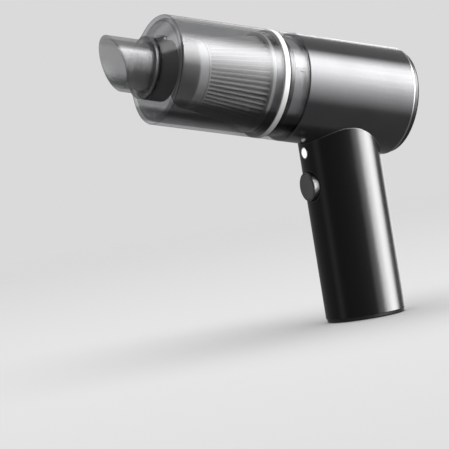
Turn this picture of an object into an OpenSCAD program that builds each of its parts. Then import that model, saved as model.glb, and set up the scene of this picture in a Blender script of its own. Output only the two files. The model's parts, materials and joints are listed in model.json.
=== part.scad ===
// A cordless handheld vacuum cleaner that stands on the end of its handle, nose raised.
// The origin is the middle of the foot pad's underside, with Z up the handle's axis.
// The body's own frame has Z forward along the nose, X up and its origin on the handle's axis.

/* [Body] */
// Outside diameter of the body tube, the lock collar and the dust cup
body_d = 66; // [65:0.5:72]
// Wall of the body tube
body_wall = 2.2; // [1.6:0.1:3]
// Room in the body tube behind the motor's end
rear_room = 8.8; // [8:0.1:19]
// Length of the body tube ahead of the handle's axis
front_reach = 32.5; // [32:0.1:44]
// Tilt of the nose above level
nose_lift = 15; // [8:1:20]

/* [Rear end] */
// Thickness of the bright trim ring that shows
trim_w = 1.5; // [1:0.1:3]
// Depth that the trim ring and the rear cover plug into the body
plug_depth = 3.3; // [2.5:0.1:6]
// Step from the body's edge in to the rear cover's face
rear_cover_step = 1.5; // [1:0.1:2.2]
// Thickness of the rear cover's face
rear_cover_t = 3.4; // [2:0.1:4]
// Number of exhaust slots
slot_count = 24; // [12:1:30]
// Width of an exhaust slot
slot_w = 1.6; // [1:0.1:2]
// Radius at which the exhaust slots start
slot_inner_r = 9; // [8:0.5:12]
// Radius at which the exhaust slots end
slot_outer_r = 21; // [18:0.5:22]
// Distance of the rear screws from the edge of the rear cover's plug
rear_screw_inset = 4.1; // [3.6:0.1:4.6]
// Thickness of the exhaust foam
foam_t = 3.2; // [2:0.1:4]

/* [Lock collar and seal] */
// Length of the clear lock collar up to the white ring
collar_l = 13.15; // [12.5:0.05:20]
// Wall of the lock collar
collar_wall = 2; // [1.6:0.1:2.4]
// Width of the white seal ring
seal_w = 3.7; // [2:0.1:6]
// Wall of the collar's spigot that the cup slides onto
spigot_wall = 2.2; // [1.6:0.1:2.6]
// Length of the collar's spigot inside the cup
cup_grip = 4; // [3:0.1:8]
// Thickness of the collar's inner web
web_t = 2; // [1.5:0.1:3]
// Turn of the collar from locked to free, in degrees
twist_angle = 30; // [26:1:36]
// Angle that each bayonet lug spans, in degrees
lug_angle = 24; // [16:1:26]
// Length of each bayonet lug along the body
lug_l = 3; // [2:0.1:3.4]
// Turn of the bayonet's lugs about the body, in degrees
lug_turn = -62; // [-180:1:180]

/* [Dust cup] */
// Length of the cup's straight part
cup_l = 68.4; // [60:0.1:80]
// Wall of the dust cup
cup_wall = 2; // [1.6:0.1:2.6]
// Length of the cup's cone
cone_l = 8.1; // [6:0.1:12]
// Diameter of the cup's front face
cup_face_d = 41.6; // [40:0.1:48]
// Height of the inner boss round the inlet tube
boss_h = 3.6; // [3:0.1:5]
// Length of the rubber sleeve on that boss
sleeve_l = 11; // [8:0.1:12]
// Wall of the rubber sleeve
sleeve_wall = 0.8; // [0.6:0.1:0.8]

/* [Inlet] */
// Outside diameter of the inlet tube
inlet_d = 32; // [30:0.1:33]
// Bore that attachments push into
inlet_bore_d = 28; // [24:0.1:29]
// Length of the inlet tube ahead of the cup's face, on its axis
inlet_l = 20.9; // [16:0.1:30]
// Slant of the inlet's mouth, in degrees
mouth_slant = 24; // [0:1:30]
// Diameter of the inlet tube's flange
inlet_flange_d = 37.6; // [36.5:0.1:39]
// Thickness of the inlet tube's flange
inlet_flange_t = 2.3; // [1:0.1:4]
// Narrow throat behind the bore, where attachments stop
throat_d = 25; // [20:0.1:27]
// Length of the inlet tube behind the cup's face
inlet_back_l = 7; // [6.5:0.1:8]
// Thickness of the inlet flap
flap_t = 1.2; // [0.8:0.1:2]
// Diameter of the inlet flap's disc
flap_d = 30.4; // [28.5:0.1:30.8]
// Diameter of the flap's hinge pin
flap_pin_d = 1.6; // [1.2:0.1:2]
// Distance of the flap's hinge from the body's axis
flap_hinge_r = 17.7; // [17.5:0.1:18.2]

/* [Filter] */
// Gap between the cup and the pleats at the rear
dust_gap = 2.6; // [2.2:0.1:6]
// Diameter over the pleats at the front
pleat_front_d = 43; // [36:0.1:46]
// Length of the pleats
pleat_l = 37.1; // [30:0.1:38]
// Number of pleats
pleat_count = 52; // [30:1:60]
// Depth of the pleats at the rear
pleat_depth = 3.6; // [2:0.1:4]
// Radial thickness of the pleated paper at the rear
paper_t = 1.9; // [1.2:0.1:2]
// Thickness of the filter's rear flange
filter_flange_t = 2.25; // [1.5:0.05:4]
// Length of the filter's front cap
filter_cap_l = 7.1; // [5:0.1:7.5]
// Diameter of the front cap's face
filter_cap_d = 41.3; // [36:0.1:42.5]
// Length of the filter's rear spigot
filter_spigot_l = 6.9; // [5:0.1:8]
// Wall of the filter's moulded parts
filter_wall = 1.8; // [1.2:0.1:2]

/* [Fan and motor] */
// Diameter of the impeller
impeller_d = 50; // [40:0.5:54]
// Depth of the impeller
impeller_l = 9.5; // [6:0.1:10]
// Number of impeller blades
blade_count = 11; // [7:1:13]
// Diameter of the eye that feeds the impeller
fan_eye_d = 25; // [20:0.5:30]
// Diameter of the motor
motor_d = 28; // [24:0.1:30]
// Length of the motor's can
motor_l = 34; // [28:0.1:35]
// Diameter of the motor's shaft
shaft_d = 2.3; // [2:0.1:3.2]
// Length of the duct in front of the fan that stands out of the body
duct_out = 8.5; // [8.3:0.1:9]
// Length of the duct inside the body
duct_in = 10.5; // [9:0.1:11]
// Wall of the duct
duct_wall = 2.2; // [1.6:0.1:3]

/* [Handle] */
// Outside diameter of the handle
handle_d = 48.9; // [48.5:0.1:54]
// Wall of the handle
handle_wall = 2.2; // [1.6:0.1:2.4]
// Step of the end cap inside the handle's outline
cap_inset = 0.6; // [0:0.1:1.5]
// Height of the end cap's rim
cap_rim_h = 1.8; // [1:0.1:3]
// Depth that the foot pad stands out of the end cap
pad_proud = 0.5; // [0.3:0.1:1]
// Diameter of the foot pad
pad_d = 38; // [32:0.5:39]
// Room in the handle above the battery frame, up to the body, on the handle's axis
head_room = 31.24; // [31:0.01:52]
// Diameter of a battery cell
cell_d = 18.4; // [18:0.1:18.6]
// Length of a battery cell
cell_l = 65; // [60:0.1:65.5]

/* [Button and lamp] */
// Diameter of the push button
button_d = 17.6; // [14:0.1:18]
// Height that the button stands out of the handle
button_proud = 2.4; // [1.5:0.1:3]
// Travel of the button
button_travel = 1.2; // [0.6:0.1:1.5]
// Diameter of the lamp's lens
lens_d = 6; // [4:0.1:7]
// Drop from the front of the handle's top edge to the lamp's middle
lamp_drop = 5.8; // [5.6:0.1:8]
// Distance from the lamp's middle down to the button's middle
button_drop = 20.6; // [18:0.1:21]

/* [Fits] */
// Gap round a fixed insert in its bore
fit_gap = 0.1; // [0.05:0.01:0.15]
// Gap between pieces that slide or turn past each other
slide_gap = 0.3; // [0.2:0.05:0.4]
// Radial gap round a turning pin or shaft
pin_gap = 0.05; // [0.02:0.01:0.1]
// Radial gap round a pressed-in piece and a screw's thread
tight_gap = 0.02; // [0.01:0.01:0.04]
// Gap round a screw's head in its recess
head_gap = 0.3; // [0.2:0.05:0.5]

/* [Hidden] */
$fn = 96;
eps = 0.5;

// Radii shared along the body
body_r = body_d / 2;
bore_r = body_r - body_wall;
insert_r = bore_r - fit_gap;
handle_r = handle_d / 2;
handle_bore_r = handle_r - handle_wall;

// Stations along the body, forward of the handle's axis
duct_front = front_reach + duct_out;
duct_back = front_reach - duct_in;
duct_land_l = 2;
duct_flange_l = 3;
collar_back = front_reach + slide_gap;
seal_back = front_reach + slide_gap + collar_l;
seal_front = seal_back + seal_w;
cup_back = seal_front + slide_gap;
spigot_front = cup_back + cup_grip;
cup_rim = cup_back + cup_l;
cup_face = cup_rim + cone_l;
mouth_s = cup_face + inlet_l;
inlet_back = cup_face - inlet_back_l;
pleat_back = spigot_front + filter_flange_t;
pleat_front = pleat_back + pleat_l;
filter_front = pleat_front + filter_cap_l;

// Radii of the joint between collar, duct and filter
collar_bore_r = body_r - collar_wall;
lug_outer_r = collar_bore_r - slide_gap;
lug_h = 1.5;
duct_r = lug_outer_r - lug_h;
collar_lug_r = duct_r + slide_gap;
duct_bore_r = duct_r - duct_wall;
cup_bore_r = body_r - cup_wall;
inlet_hole_r = inlet_d / 2 + tight_gap;
boss_r = inlet_hole_r + cup_wall;
pleat_rear_r = cup_bore_r - dust_gap;
spigot_r = cup_bore_r - slide_gap;
spigot_bore_r = spigot_r - spigot_wall;
lug_copies = 3;
stop_angle = 2.6;
stop_clear = 1.2;
house_lug_back = duct_front - lug_l;
collar_lug_front = house_lug_back - slide_gap;

// Fan and motor stations
shroud_t = 1.5;
fan_clear = 1;
plate_t = 3;
impeller_front = duct_back - shroud_t - fan_clear;
impeller_back = impeller_front - impeller_l;
plate_front = impeller_back - fan_clear;
motor_front = plate_front - plate_t;
motor_back = motor_front - motor_l;
bell_l = 3;
bell_back = motor_back - bell_l;
shaft_r = shaft_d / 2;
motor_r = motor_d / 2;
can_t = 1.2;
magnet_t = 3;
magnet_angle = 130;
armature_gap = 0.5;
armature_inset = 5;
bush_r = 3.2;
bush_l = 3;
damper_t = 1.6;
cradle_l = 3;
cradle_ring_t = 2.4;
cradle_s = motor_back + motor_l * 0.3;
arm_w = 6;
arm_step = 0.3;
hub_r = 5;
disc_t = 1.2;
blade_t = 1;
blade_curve_r = impeller_d * 0.28;
blade_offset = impeller_d * 0.25;
vent_count = 8;
vent_inner_r = 17;
vent_outer_r = 27;
vent_rib = 4;
motor_screw_r = 8;

// Rear end
rear_reach = rear_room - bell_back;
trim_back = -rear_reach - trim_w;
plug_front = -rear_reach + plug_depth;
cover_back = trim_back - rear_cover_t;
trim_spigot_t = 1;
trim_bore_r = insert_r - trim_spigot_t;
cover_plug_r = trim_bore_r - fit_gap;
cover_plug_wall = 1.5;
rear_screw_copies = 3;
rear_screw_r = cover_plug_r - rear_screw_inset;
post_r = 3.2;
boss_rib_w = 3;
rear_boss_l = 10;
rear_boss_floor = 1;
rear_grip_l = 6;
cover_round = 1.2;

// Screws: a pan head, its shank and the hole that the shank grips
screw_head_r = 2.6;
screw_head_h = 1.4;
screw_r = 1.25;
screw_hole_r = screw_r + tight_gap;
screw_pass_r = screw_r + 0.15;
head_sink = 0.2;
driver_w = 0.6;

// Handle pieces, upwards from the floor
cap_back = pad_proud;
pad_recess = 0.8;
pad_top = cap_back + pad_recess;
cap_top = cap_back + cap_rim_h;
cap_edge = 0.4;
cap_floor_t = 2.2;
floor_top = pad_top + cap_floor_t;
frame_plate_t = 2.5;
frame_floor = floor_top + frame_plate_t;
strip_t = 0.3;
cell_z = frame_floor + strip_t;
cell_top = cell_z + cell_l;
frame_top = cell_top + strip_t;
frame_roof_t = 1.5;
frame_roof = frame_top + frame_roof_t;
cap_ring_wall = 1.75;
cap_ring_r = handle_bore_r - fit_gap;
cap_ring_bore_r = cap_ring_r - cap_ring_wall;
cap_ring_rise = 2;
cap_ring_top = frame_floor + cap_ring_rise;
cell_pitch_r = (cell_d + 0.3) / sqrt(3);
rail_w = 6;
rail_inner_r = 14;
cap_screw_x = 13;

// Where the handle's wall meets the underside of the body, front and rear
saddle_mid = frame_roof + head_room;
saddle_front = saddle_mid + handle_r * tan(nose_lift);
saddle_rear = saddle_mid - handle_r * tan(nose_lift);
axis_height = saddle_mid + body_r / cos(nose_lift);
lamp_z = saddle_front - lamp_drop;
button_z = lamp_z - button_drop;

// Neck that joins the body to the handle
neck_wall = 2;
neck_r = handle_bore_r - fit_gap;
neck_depth = 8;
neck_z = saddle_rear - neck_depth;
neck_boss_r = 3.2;
neck_screw_inset = 6.15;
neck_screw_y = neck_r - neck_screw_inset;
neck_grip_l = 8;
neck_hole_l = 10;
arm_t = 2;
arm_y = neck_screw_y + screw_head_r + head_gap;
tab_t = 3;
arm_half_w = 4;
port_r = 8;
port_x = 2;
port_wire_step = 3;
port_over = 8;

// Control board, switch and charging socket
board_t = 1.6;
board_y = -3.2;
board_drop = 9;
board_rise = 4.8;
board_low = button_z - board_drop;
board_top = button_z + board_rise;
flange_front = handle_bore_r - 2.65;
flange_t = 1;
switch_l = 8;
switch_w = 8;
switch_front = flange_front - flange_t - 2.6;
board_front = switch_front - switch_l;
board_rear = handle_bore_r - 1.75;
plunger_r = 1.9;
plunger_bore = 6;
usb_w = 8.9;
usb_t = 3.2;
usb_l = 7.3;
usb_wall = 0.4;
usb_z = button_z - 2;
bracket_t = 2;
board_screw_x = 5;
board_screw_r = 0.9;
board_screw_inset = 3;
board_screw_z = [board_low + board_screw_inset, board_top - board_screw_inset];

// Button and lamp, measured inwards from the handle's front
button_r = button_d / 2;
bezel_r = button_r + 1.3;
button_face = handle_r + button_proud;
button_ring_t = 1;
button_flange_r = bezel_r - 0.1;
lens_r = lens_d / 2;
led_bezel_r = lens_r + 0.7;
led_board_front = handle_bore_r - 2.75;
lamp_proud = 0.6;

// Wires
wire_r = 0.9;
thin_wire_r = 0.6;
wire_u = -22.6;
lead_y = board_y + board_t / 2;
lead_x = [-board_front + 0.7, cell_pitch_r / 2];
tab_u = -8.4;
tab_l = 2.5;
wire_y = 3;

// Flap
flap_front = inlet_back - slide_gap;
flap_mid = flap_front - flap_t / 2;
knuckle_r = 1.5;
knuckle_half_l = 5;
ear_t = 2;
ear_in = knuckle_half_l + slide_gap;
ear_low = flap_hinge_r - 1.6;
ear_high = flap_hinge_r + 1.8;
ear_back = flap_mid - knuckle_r - fit_gap;

// A point of the body's frame in the part's frame: u up, y sideways, s forward
function to_row(u, y, s) = [
    u * sin(nose_lift) - s * cos(nose_lift),
    y,
    axis_height + u * cos(nose_lift) + s * sin(nose_lift)];

// Station s of a point at height u in the body that lies over x in the part's frame
function s_over(x, u) = (u * sin(nose_lift) - x) / cos(nose_lift);

// Turn along a blade's arc at which it lies at radius r from the impeller's axis
function blade_turn(r) =
    acos((pow(r, 2) - pow(blade_offset, 2) - pow(blade_curve_r, 2)) / (2 * blade_offset * blade_curve_r));

// Points on an arc about [x, y], from angle a to angle b
function arc_points(x, y, r, a, b, steps = 6) =
    [for (i = [0:steps]) let (t = a + (b - a) * i / steps) [x + r * cos(t), y + r * sin(t)]];

module in_body(s = 0) {
    translate([0, 0, axis_height]) rotate([0, nose_lift - 90, 0]) translate([0, 0, s]) children();
}

module tube(r, bore, from, to) {
    translate([0, 0, from]) difference() {
        cylinder(r = r, h = to - from);
        translate([0, 0, -eps]) cylinder(r = bore, h = to - from + 2 * eps);
    }
}

// A block of a ring that spans an angle about its middle
module ring_block(bore, r, from, to, middle, angle) {
    rotate([0, 0, middle - angle / 2]) rotate_extrude(angle = angle)
        translate([bore, from]) square([r - bore, to - from]);
}

module around(copies, start = 0) {
    for (i = [0:copies - 1]) rotate([0, 0, start + 360 * i / copies]) children();
}

// A round bar from one point to another
module bar(from, to, r) {
    d = to - from;
    l = norm(d);
    translate(from) rotate([0, acos(d[2] / l), atan2(d[1], d[0])]) cylinder(r = r, h = l, $fn = 24);
}

// A wire along points, with slightly fuller balls at its corners
module wire(points, r) {
    for (i = [0:len(points) - 2]) bar(points[i], points[i + 1], r);
    for (i = [1:len(points) - 2]) translate(points[i]) sphere(r = r + 0.04, $fn = 24);
}

// A screw with its head's seat at the origin and its shank down -Z
module screw(shank_l, head_r = screw_head_r, head_h = screw_head_h, r = screw_r) {
    difference() {
        union() {
            cylinder(r = head_r, h = head_h, $fn = 32);
            translate([0, 0, -shank_l]) cylinder(r = r, h = shank_l + head_h / 2, $fn = 24);
        }
        for (turn = [0, 90]) rotate([0, 0, turn])
            translate([-head_r * 0.6, -driver_w / 2, head_h / 2]) cube([head_r * 1.2, driver_w, head_h]);
    }
}

// Body tube with the neck that plugs into the handle, and the bosses for its screws
module motor_housing() {
    color("dimgray") difference() {
        union() {
            in_body(-rear_reach) cylinder(r = body_r, h = rear_reach + front_reach);
            difference() {
                translate([0, 0, neck_z]) cylinder(r = neck_r, h = saddle_front - neck_z);
                translate([0, 0, neck_z - eps])
                    cylinder(r = neck_r - neck_wall, h = saddle_front - neck_z + 2 * eps);
                translate([-handle_r, -bezel_r - 1, neck_z - eps])
                    cube([handle_r - 4, 2 * bezel_r + 2, saddle_front - neck_z + 1]);
            }
            for (side = [-1, 1]) translate([0, side * neck_screw_y, neck_z])
                cylinder(r = neck_boss_r, h = axis_height - body_r + 4 - neck_z);
        }
        difference() {
            in_body(-rear_reach - eps) cylinder(r = bore_r, h = rear_reach + front_reach + 2 * eps);
            in_body() around(rear_screw_copies) {
                translate([rear_screw_r, 0, plug_front]) cylinder(r = post_r, h = rear_boss_l);
                translate([rear_screw_r, -boss_rib_w / 2, plug_front])
                    cube([body_r - body_wall / 2 - rear_screw_r, boss_rib_w, rear_boss_l]);
            }
        }
        in_body() around(rear_screw_copies) translate([rear_screw_r, 0, plug_front - eps])
            cylinder(r = screw_hole_r, h = eps + rear_boss_l - rear_boss_floor, $fn = 24);
        for (side = [-1, 1]) translate([0, side * neck_screw_y, neck_z - eps])
            cylinder(r = screw_hole_r, h = eps + neck_hole_l, $fn = 24);
        translate([port_x, 0, neck_z]) cylinder(r = port_r, h = axis_height - bore_r + port_over - neck_z);
    }
}

// Duct ahead of the fan: it carries the fixed half of the bayonet
module intake_duct() {
    color("silver") in_body() {
        rotate_extrude() polygon([
            [duct_bore_r, duct_back], [insert_r, duct_back],
            [insert_r, duct_back + duct_flange_l], [duct_r, duct_back + duct_flange_l],
            [duct_r, front_reach - duct_land_l], [insert_r, front_reach - duct_land_l],
            [insert_r, front_reach], [duct_r, front_reach],
            [duct_r, duct_front], [duct_bore_r, duct_front]]);
        for (i = [0:lug_copies - 1])
            ring_block(duct_r - duct_wall / 2, lug_outer_r, house_lug_back, duct_front,
                lug_turn + i * 360 / lug_copies, lug_angle);
        for (middle = [-lug_angle / 2 - stop_clear - stop_angle / 2,
                lug_angle / 2 + twist_angle + stop_clear + stop_angle / 2])
            ring_block(duct_r - duct_wall / 2, lug_outer_r, collar_lug_front - lug_l,
                collar_lug_front, lug_turn + middle, stop_angle);
    }
}

// Soft ring that seals the duct against the collar's web
module duct_gasket() {
    color("black") in_body()
        tube(duct_r, duct_bore_r + 0.6, duct_front, seal_back - web_t - slide_gap);
}

// Finger guard inside the duct
module intake_guard() {
    guard_t = 1.5;
    color("dimgray") in_body(duct_back + duct_flange_l) difference() {
        cylinder(r = duct_bore_r - fit_gap / 2, h = guard_t);
        for (band = [[hub_r, 11], [12.2, 18], [19.2, duct_bore_r - 2]])
            translate([0, 0, -eps]) difference() {
                cylinder(r = band[1], h = guard_t + 2 * eps);
                translate([0, 0, -eps]) cylinder(r = band[0], h = guard_t + 4 * eps);
                around(4) translate([-body_r, -0.8, -2 * eps]) cube([body_d, 1.6, guard_t + 6 * eps]);
            }
    }
}

// Cup round the impeller, open at its eye and at the rear
module fan_shroud() {
    color("darkslategray") in_body() rotate_extrude() polygon([
        [fan_eye_d / 2, duct_back - shroud_t], [insert_r - shroud_t, duct_back - shroud_t],
        [insert_r - shroud_t, plate_front], [insert_r, plate_front],
        [insert_r, duct_back], [fan_eye_d / 2, duct_back]]);
}

// Wheel that draws the air in at its eye and throws it outwards
module impeller() {
    tip_turn = blade_turn(impeller_d / 2 - 0.6);
    root_turn = blade_turn(hub_r + 1.2);
    color("gray") in_body(impeller_back) difference() {
        union() {
            cylinder(r = impeller_d / 2, h = disc_t);
            cylinder(r = hub_r, h = impeller_l);
            around(blade_count) translate([blade_offset, 0, 0])
                ring_block(blade_curve_r - blade_t, blade_curve_r, 0, impeller_l,
                    (tip_turn + root_turn) / 2, root_turn - tip_turn);
        }
        translate([0, 0, -eps]) cylinder(r = shaft_r + tight_gap, h = impeller_l + 2 * eps, $fn = 32);
    }
}

// Plate that holds the motor, with vents that straighten the air
module motor_plate() {
    color("darkslategray") in_body(motor_front) difference() {
        cylinder(r = insert_r, h = plate_t);
        translate([0, 0, -eps]) cylinder(r = bush_r + 1, h = plate_t + 2 * eps);
        translate([0, 0, -eps]) difference() {
            cylinder(r = vent_outer_r, h = plate_t + 2 * eps);
            translate([0, 0, -eps]) cylinder(r = vent_inner_r, h = plate_t + 4 * eps);
            around(vent_count) translate([0, -vent_rib / 2, -2 * eps])
                cube([body_r, vent_rib, plate_t + 6 * eps]);
        }
        around(2, 90) translate([motor_screw_r, 0, -eps])
            cylinder(r = screw_pass_r, h = plate_t + 2 * eps, $fn = 24);
    }
}

// Steel can of the motor, closed at the front round its bush
module motor_can() {
    color("silver") in_body() difference() {
        translate([0, 0, motor_back]) cylinder(r = motor_r, h = motor_l);
        translate([0, 0, motor_back - eps]) cylinder(r = motor_r - can_t, h = motor_l - 2 + eps);
        translate([0, 0, motor_front - 2 - eps]) cylinder(r = bush_r, h = 2 + 2 * eps);
        around(2, 90) translate([motor_screw_r, 0, motor_front - 2 - eps])
            cylinder(r = screw_hole_r, h = 2 + 2 * eps, $fn = 24);
    }
}

// Two curved magnets inside the can
module motor_magnets() {
    color("dimgray") in_body() for (side = [0, 180])
        ring_block(motor_r - can_t - magnet_t, motor_r - can_t, motor_back + 3, motor_front - 6,
            side, magnet_angle);
}

// Slotted iron core on the shaft
module motor_armature() {
    core_r = motor_r - can_t - magnet_t - armature_gap;
    color("peru") in_body() difference() {
        translate([0, 0, motor_back + armature_inset])
            cylinder(r = core_r, h = motor_l - 2 * armature_inset - 2);
        translate([0, 0, motor_back]) cylinder(r = shaft_r + tight_gap, h = motor_l, $fn = 32);
        around(5) translate([core_r - 3, -0.7, motor_back])
            cube([core_r, 1.4, motor_l]);
    }
}

// Shaft that carries the core and the impeller
module motor_shaft() {
    color("lightgray") in_body(bell_back + 0.5)
        cylinder(r = shaft_r, h = impeller_front - 0.5 - bell_back - 0.5, $fn = 48);
}

// Plain bearings at both ends of the motor
module motor_bushes() {
    color("goldenrod") in_body() {
        tube(bush_r, shaft_r + pin_gap, motor_front - bush_l, motor_front);
        tube(bush_r, shaft_r + pin_gap, bell_back + 1, bell_back + 1 + bush_l);
    }
}

// Plastic end of the motor
module motor_end_bell() {
    color("black") in_body() difference() {
        translate([0, 0, bell_back]) cylinder(r = motor_r - 0.6, h = bell_l);
        translate([0, 0, bell_back + 1]) cylinder(r = bush_r, h = bell_l);
        translate([0, 0, bell_back - eps]) cylinder(r = shaft_r + 0.5, h = bell_l);
    }
}

// Brass tabs that the wires are soldered to
module motor_terminals() {
    color("goldenrod") in_body() for (side = [-1, 1])
        translate([tab_u, side * wire_y - 1.2, bell_back - tab_l]) cube([0.8, 2.4, tab_l]);
}

// Spider that centres the rear of the motor in the body
module motor_cradle() {
    ring_bore = motor_r + damper_t;
    color("dimgray") in_body() {
        tube(ring_bore + cradle_ring_t, ring_bore, cradle_s, cradle_s + cradle_l);
        tube(insert_r, insert_r - 1.6, cradle_s, cradle_s + cradle_l);
        around(3) translate([ring_bore + cradle_ring_t / 2, -arm_w / 2, cradle_s + arm_step])
            cube([insert_r - 0.8 - ring_bore - cradle_ring_t / 2, arm_w, cradle_l - 2 * arm_step]);
    }
}

// Rubber band between the motor and its spider
module cradle_damper() {
    color("black") in_body() tube(motor_r + damper_t, motor_r, cradle_s, cradle_s + cradle_l);
}

// Screws through the motor's plate into the can
module motor_screws() {
    color("silver") in_body() around(2, 90) translate([motor_screw_r, 0, plate_front])
        screw(plate_t + 1.8, head_h = fan_clear * 0.7);
}

// Foam disc behind the exhaust slots
module exhaust_foam() {
    color("black") in_body(trim_back) difference() {
        cylinder(r = cover_plug_r - cover_plug_wall - fit_gap, h = foam_t);
        around(rear_screw_copies) translate([rear_screw_r, 0, -eps])
            cylinder(r = post_r + 0.2, h = foam_t + 2 * eps);
    }
}

// Bright ring round the rear edge, with a spigot into the body
module rear_trim_ring() {
    edge = 0.5;
    color("white") in_body() rotate_extrude() polygon([
        [trim_bore_r, trim_back], [body_r - edge, trim_back], [body_r, trim_back + edge],
        [body_r, -rear_reach], [insert_r, -rear_reach], [insert_r, plug_front],
        [trim_bore_r, plug_front]]);
}

// Rear cover with exhaust slots, held by three screws
module rear_cover() {
    cover_r = body_r - rear_cover_step;
    color("black") in_body() difference() {
        union() {
            rotate_extrude() polygon(concat(
                [[0, cover_back]],
                arc_points(cover_r - cover_round, cover_back + cover_round, cover_round, -90, 0),
                [[cover_r, trim_back], [cover_plug_r, trim_back], [cover_plug_r, plug_front],
                [cover_plug_r - cover_plug_wall, plug_front],
                [cover_plug_r - cover_plug_wall, trim_back], [0, trim_back]]));
            around(rear_screw_copies) translate([rear_screw_r, 0, trim_back - 1]) intersection() {
                cylinder(r = post_r, h = plug_front - trim_back + 1);
                translate([-rear_screw_r, 0, 0]) cylinder(r = cover_plug_r, h = plug_depth + trim_w + 1);
            }
        }
        around(rear_screw_copies) translate([rear_screw_r, 0, cover_back]) {
            translate([0, 0, -eps]) cylinder(r = screw_head_r + head_gap, h = screw_head_h + head_sink + eps);
            cylinder(r = screw_pass_r, h = rear_cover_t + plug_depth + trim_w + eps, $fn = 24);
        }
        around(slot_count) translate([slot_inner_r, -slot_w / 2, cover_back - eps])
            cube([slot_outer_r - slot_inner_r, slot_w, rear_cover_t + 2 * eps]);
    }
}

// Screws of the rear cover
module rear_screws() {
    seat = cover_back + screw_head_h + head_sink;
    color("silver") in_body() around(rear_screw_copies) translate([rear_screw_r, 0, seat])
        mirror([0, 0, 1]) screw(plug_front + rear_grip_l - seat);
}

// Clear collar: it twists on the duct's lugs and carries the seal, the filter and the cup
module lock_collar() {
    color("gainsboro", 0.5) in_body() {
        rotate_extrude() polygon([
            [collar_bore_r, collar_back], [body_r, collar_back], [body_r, seal_back],
            [spigot_r, seal_back], [spigot_r, spigot_front], [spigot_bore_r, spigot_front],
            [spigot_bore_r, seal_back - web_t], [collar_bore_r, seal_back - web_t]]);
        for (i = [0:lug_copies - 1])
            ring_block(collar_lug_r, collar_bore_r + collar_wall / 2, collar_lug_front - lug_l,
                collar_lug_front, lug_turn + i * 360 / lug_copies, lug_angle);
    }
}

// White ring between the collar and the cup
module seal_ring() {
    edge = 0.4;
    color("white") in_body() rotate_extrude() polygon([
        [spigot_r, seal_back], [body_r - edge, seal_back], [body_r, seal_back + edge],
        [body_r, seal_front - edge], [body_r - edge, seal_front], [spigot_r, seal_front]]);
}

// Clear dust cup with its coned front, the boss for the inlet tube and the flap's ears
module dust_cup() {
    face_r = cup_face_d / 2;
    cone_wall = cup_wall / cos(atan2(body_r - face_r, cone_l) / 2);
    color("lightgray", 0.4) in_body() difference() {
        union() {
            rotate_extrude() polygon([
                [cup_bore_r, cup_back], [body_r, cup_back], [body_r, cup_rim],
                [face_r, cup_face], [inlet_hole_r, cup_face],
                [inlet_hole_r, cup_face - cup_wall - boss_h], [boss_r, cup_face - cup_wall - boss_h],
                [boss_r, cup_face - cup_wall], [face_r - cup_wall / 2, cup_face - cup_wall],
                [cup_bore_r, cup_rim - cone_wall / 2]]);
            for (side = [-1, 1])
                translate([ear_low, side * (ear_in + ear_t / 2) - ear_t / 2, ear_back])
                    cube([ear_high - ear_low, ear_t, cup_face - cup_wall - ear_back]);
        }
        translate([flap_hinge_r, 0, flap_mid]) rotate([90, 0, 0])
            cylinder(r = flap_pin_d / 2 + tight_gap, h = 4 * ear_in, center = true, $fn = 32);
    }
}

// Inlet tube: a slanted mouth, a bore for attachments, and a throat that the flap closes
module inlet_tube() {
    r = inlet_d / 2;
    flange_r = inlet_flange_d / 2;
    lip = r * tan(mouth_slant);
    color("gainsboro", 0.5) in_body() difference() {
        rotate_extrude() polygon([
            [throat_d / 2, inlet_back], [r, inlet_back], [r, cup_face], [flange_r, cup_face],
            [flange_r, cup_face + inlet_flange_t], [r, cup_face + inlet_flange_t],
            [r, mouth_s + lip + 1], [inlet_bore_d / 2, mouth_s + lip + 1],
            [inlet_bore_d / 2, cup_face], [throat_d / 2, cup_face]]);
        translate([0, 0, mouth_s]) rotate([0, -mouth_slant, 0])
            translate([-body_d, -body_d, 0]) cube([2 * body_d, 2 * body_d, body_d]);
    }
}

// Rubber sleeve that grips the cup's boss and shields the flap, open round its hinge
module inlet_sleeve() {
    sleeve_r = boss_r + tight_gap;
    front = cup_face - cup_wall - tight_gap;
    gap_half_w = ear_in + ear_t + slide_gap;
    color("black") in_body(front - sleeve_l) difference() {
        rotate_extrude() translate([sleeve_r, 0]) square([sleeve_wall, sleeve_l]);
        translate([0, -gap_half_w, -eps]) cube([body_r, 2 * gap_half_w, sleeve_l + 2 * eps]);
    }
}

// Hinge pin of the flap, held in the cup's ears
module flap_pin() {
    color("silver") in_body() translate([flap_hinge_r, 0, flap_mid]) rotate([90, 0, 0])
        cylinder(r = flap_pin_d / 2, h = 2 * (ear_in + ear_t) + 0.6, center = true, $fn = 32);
}

// Flap that falls shut over the throat
module inlet_flap() {
    color("dimgray") in_body() difference() {
        union() {
            translate([0, 0, flap_front - flap_t]) cylinder(r = flap_d / 2, h = flap_t);
            translate([flap_d / 2 - 4, -knuckle_half_l, flap_front - flap_t])
                cube([flap_hinge_r - flap_d / 2 + 4, 2 * knuckle_half_l, flap_t]);
            translate([flap_hinge_r, 0, flap_mid]) rotate([90, 0, 0])
                cylinder(r = knuckle_r, h = 2 * knuckle_half_l, center = true, $fn = 32);
        }
        translate([flap_hinge_r, 0, flap_mid]) rotate([90, 0, 0])
            cylinder(r = flap_pin_d / 2 + pin_gap, h = 3 * knuckle_half_l, center = true, $fn = 32);
    }
}

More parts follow.
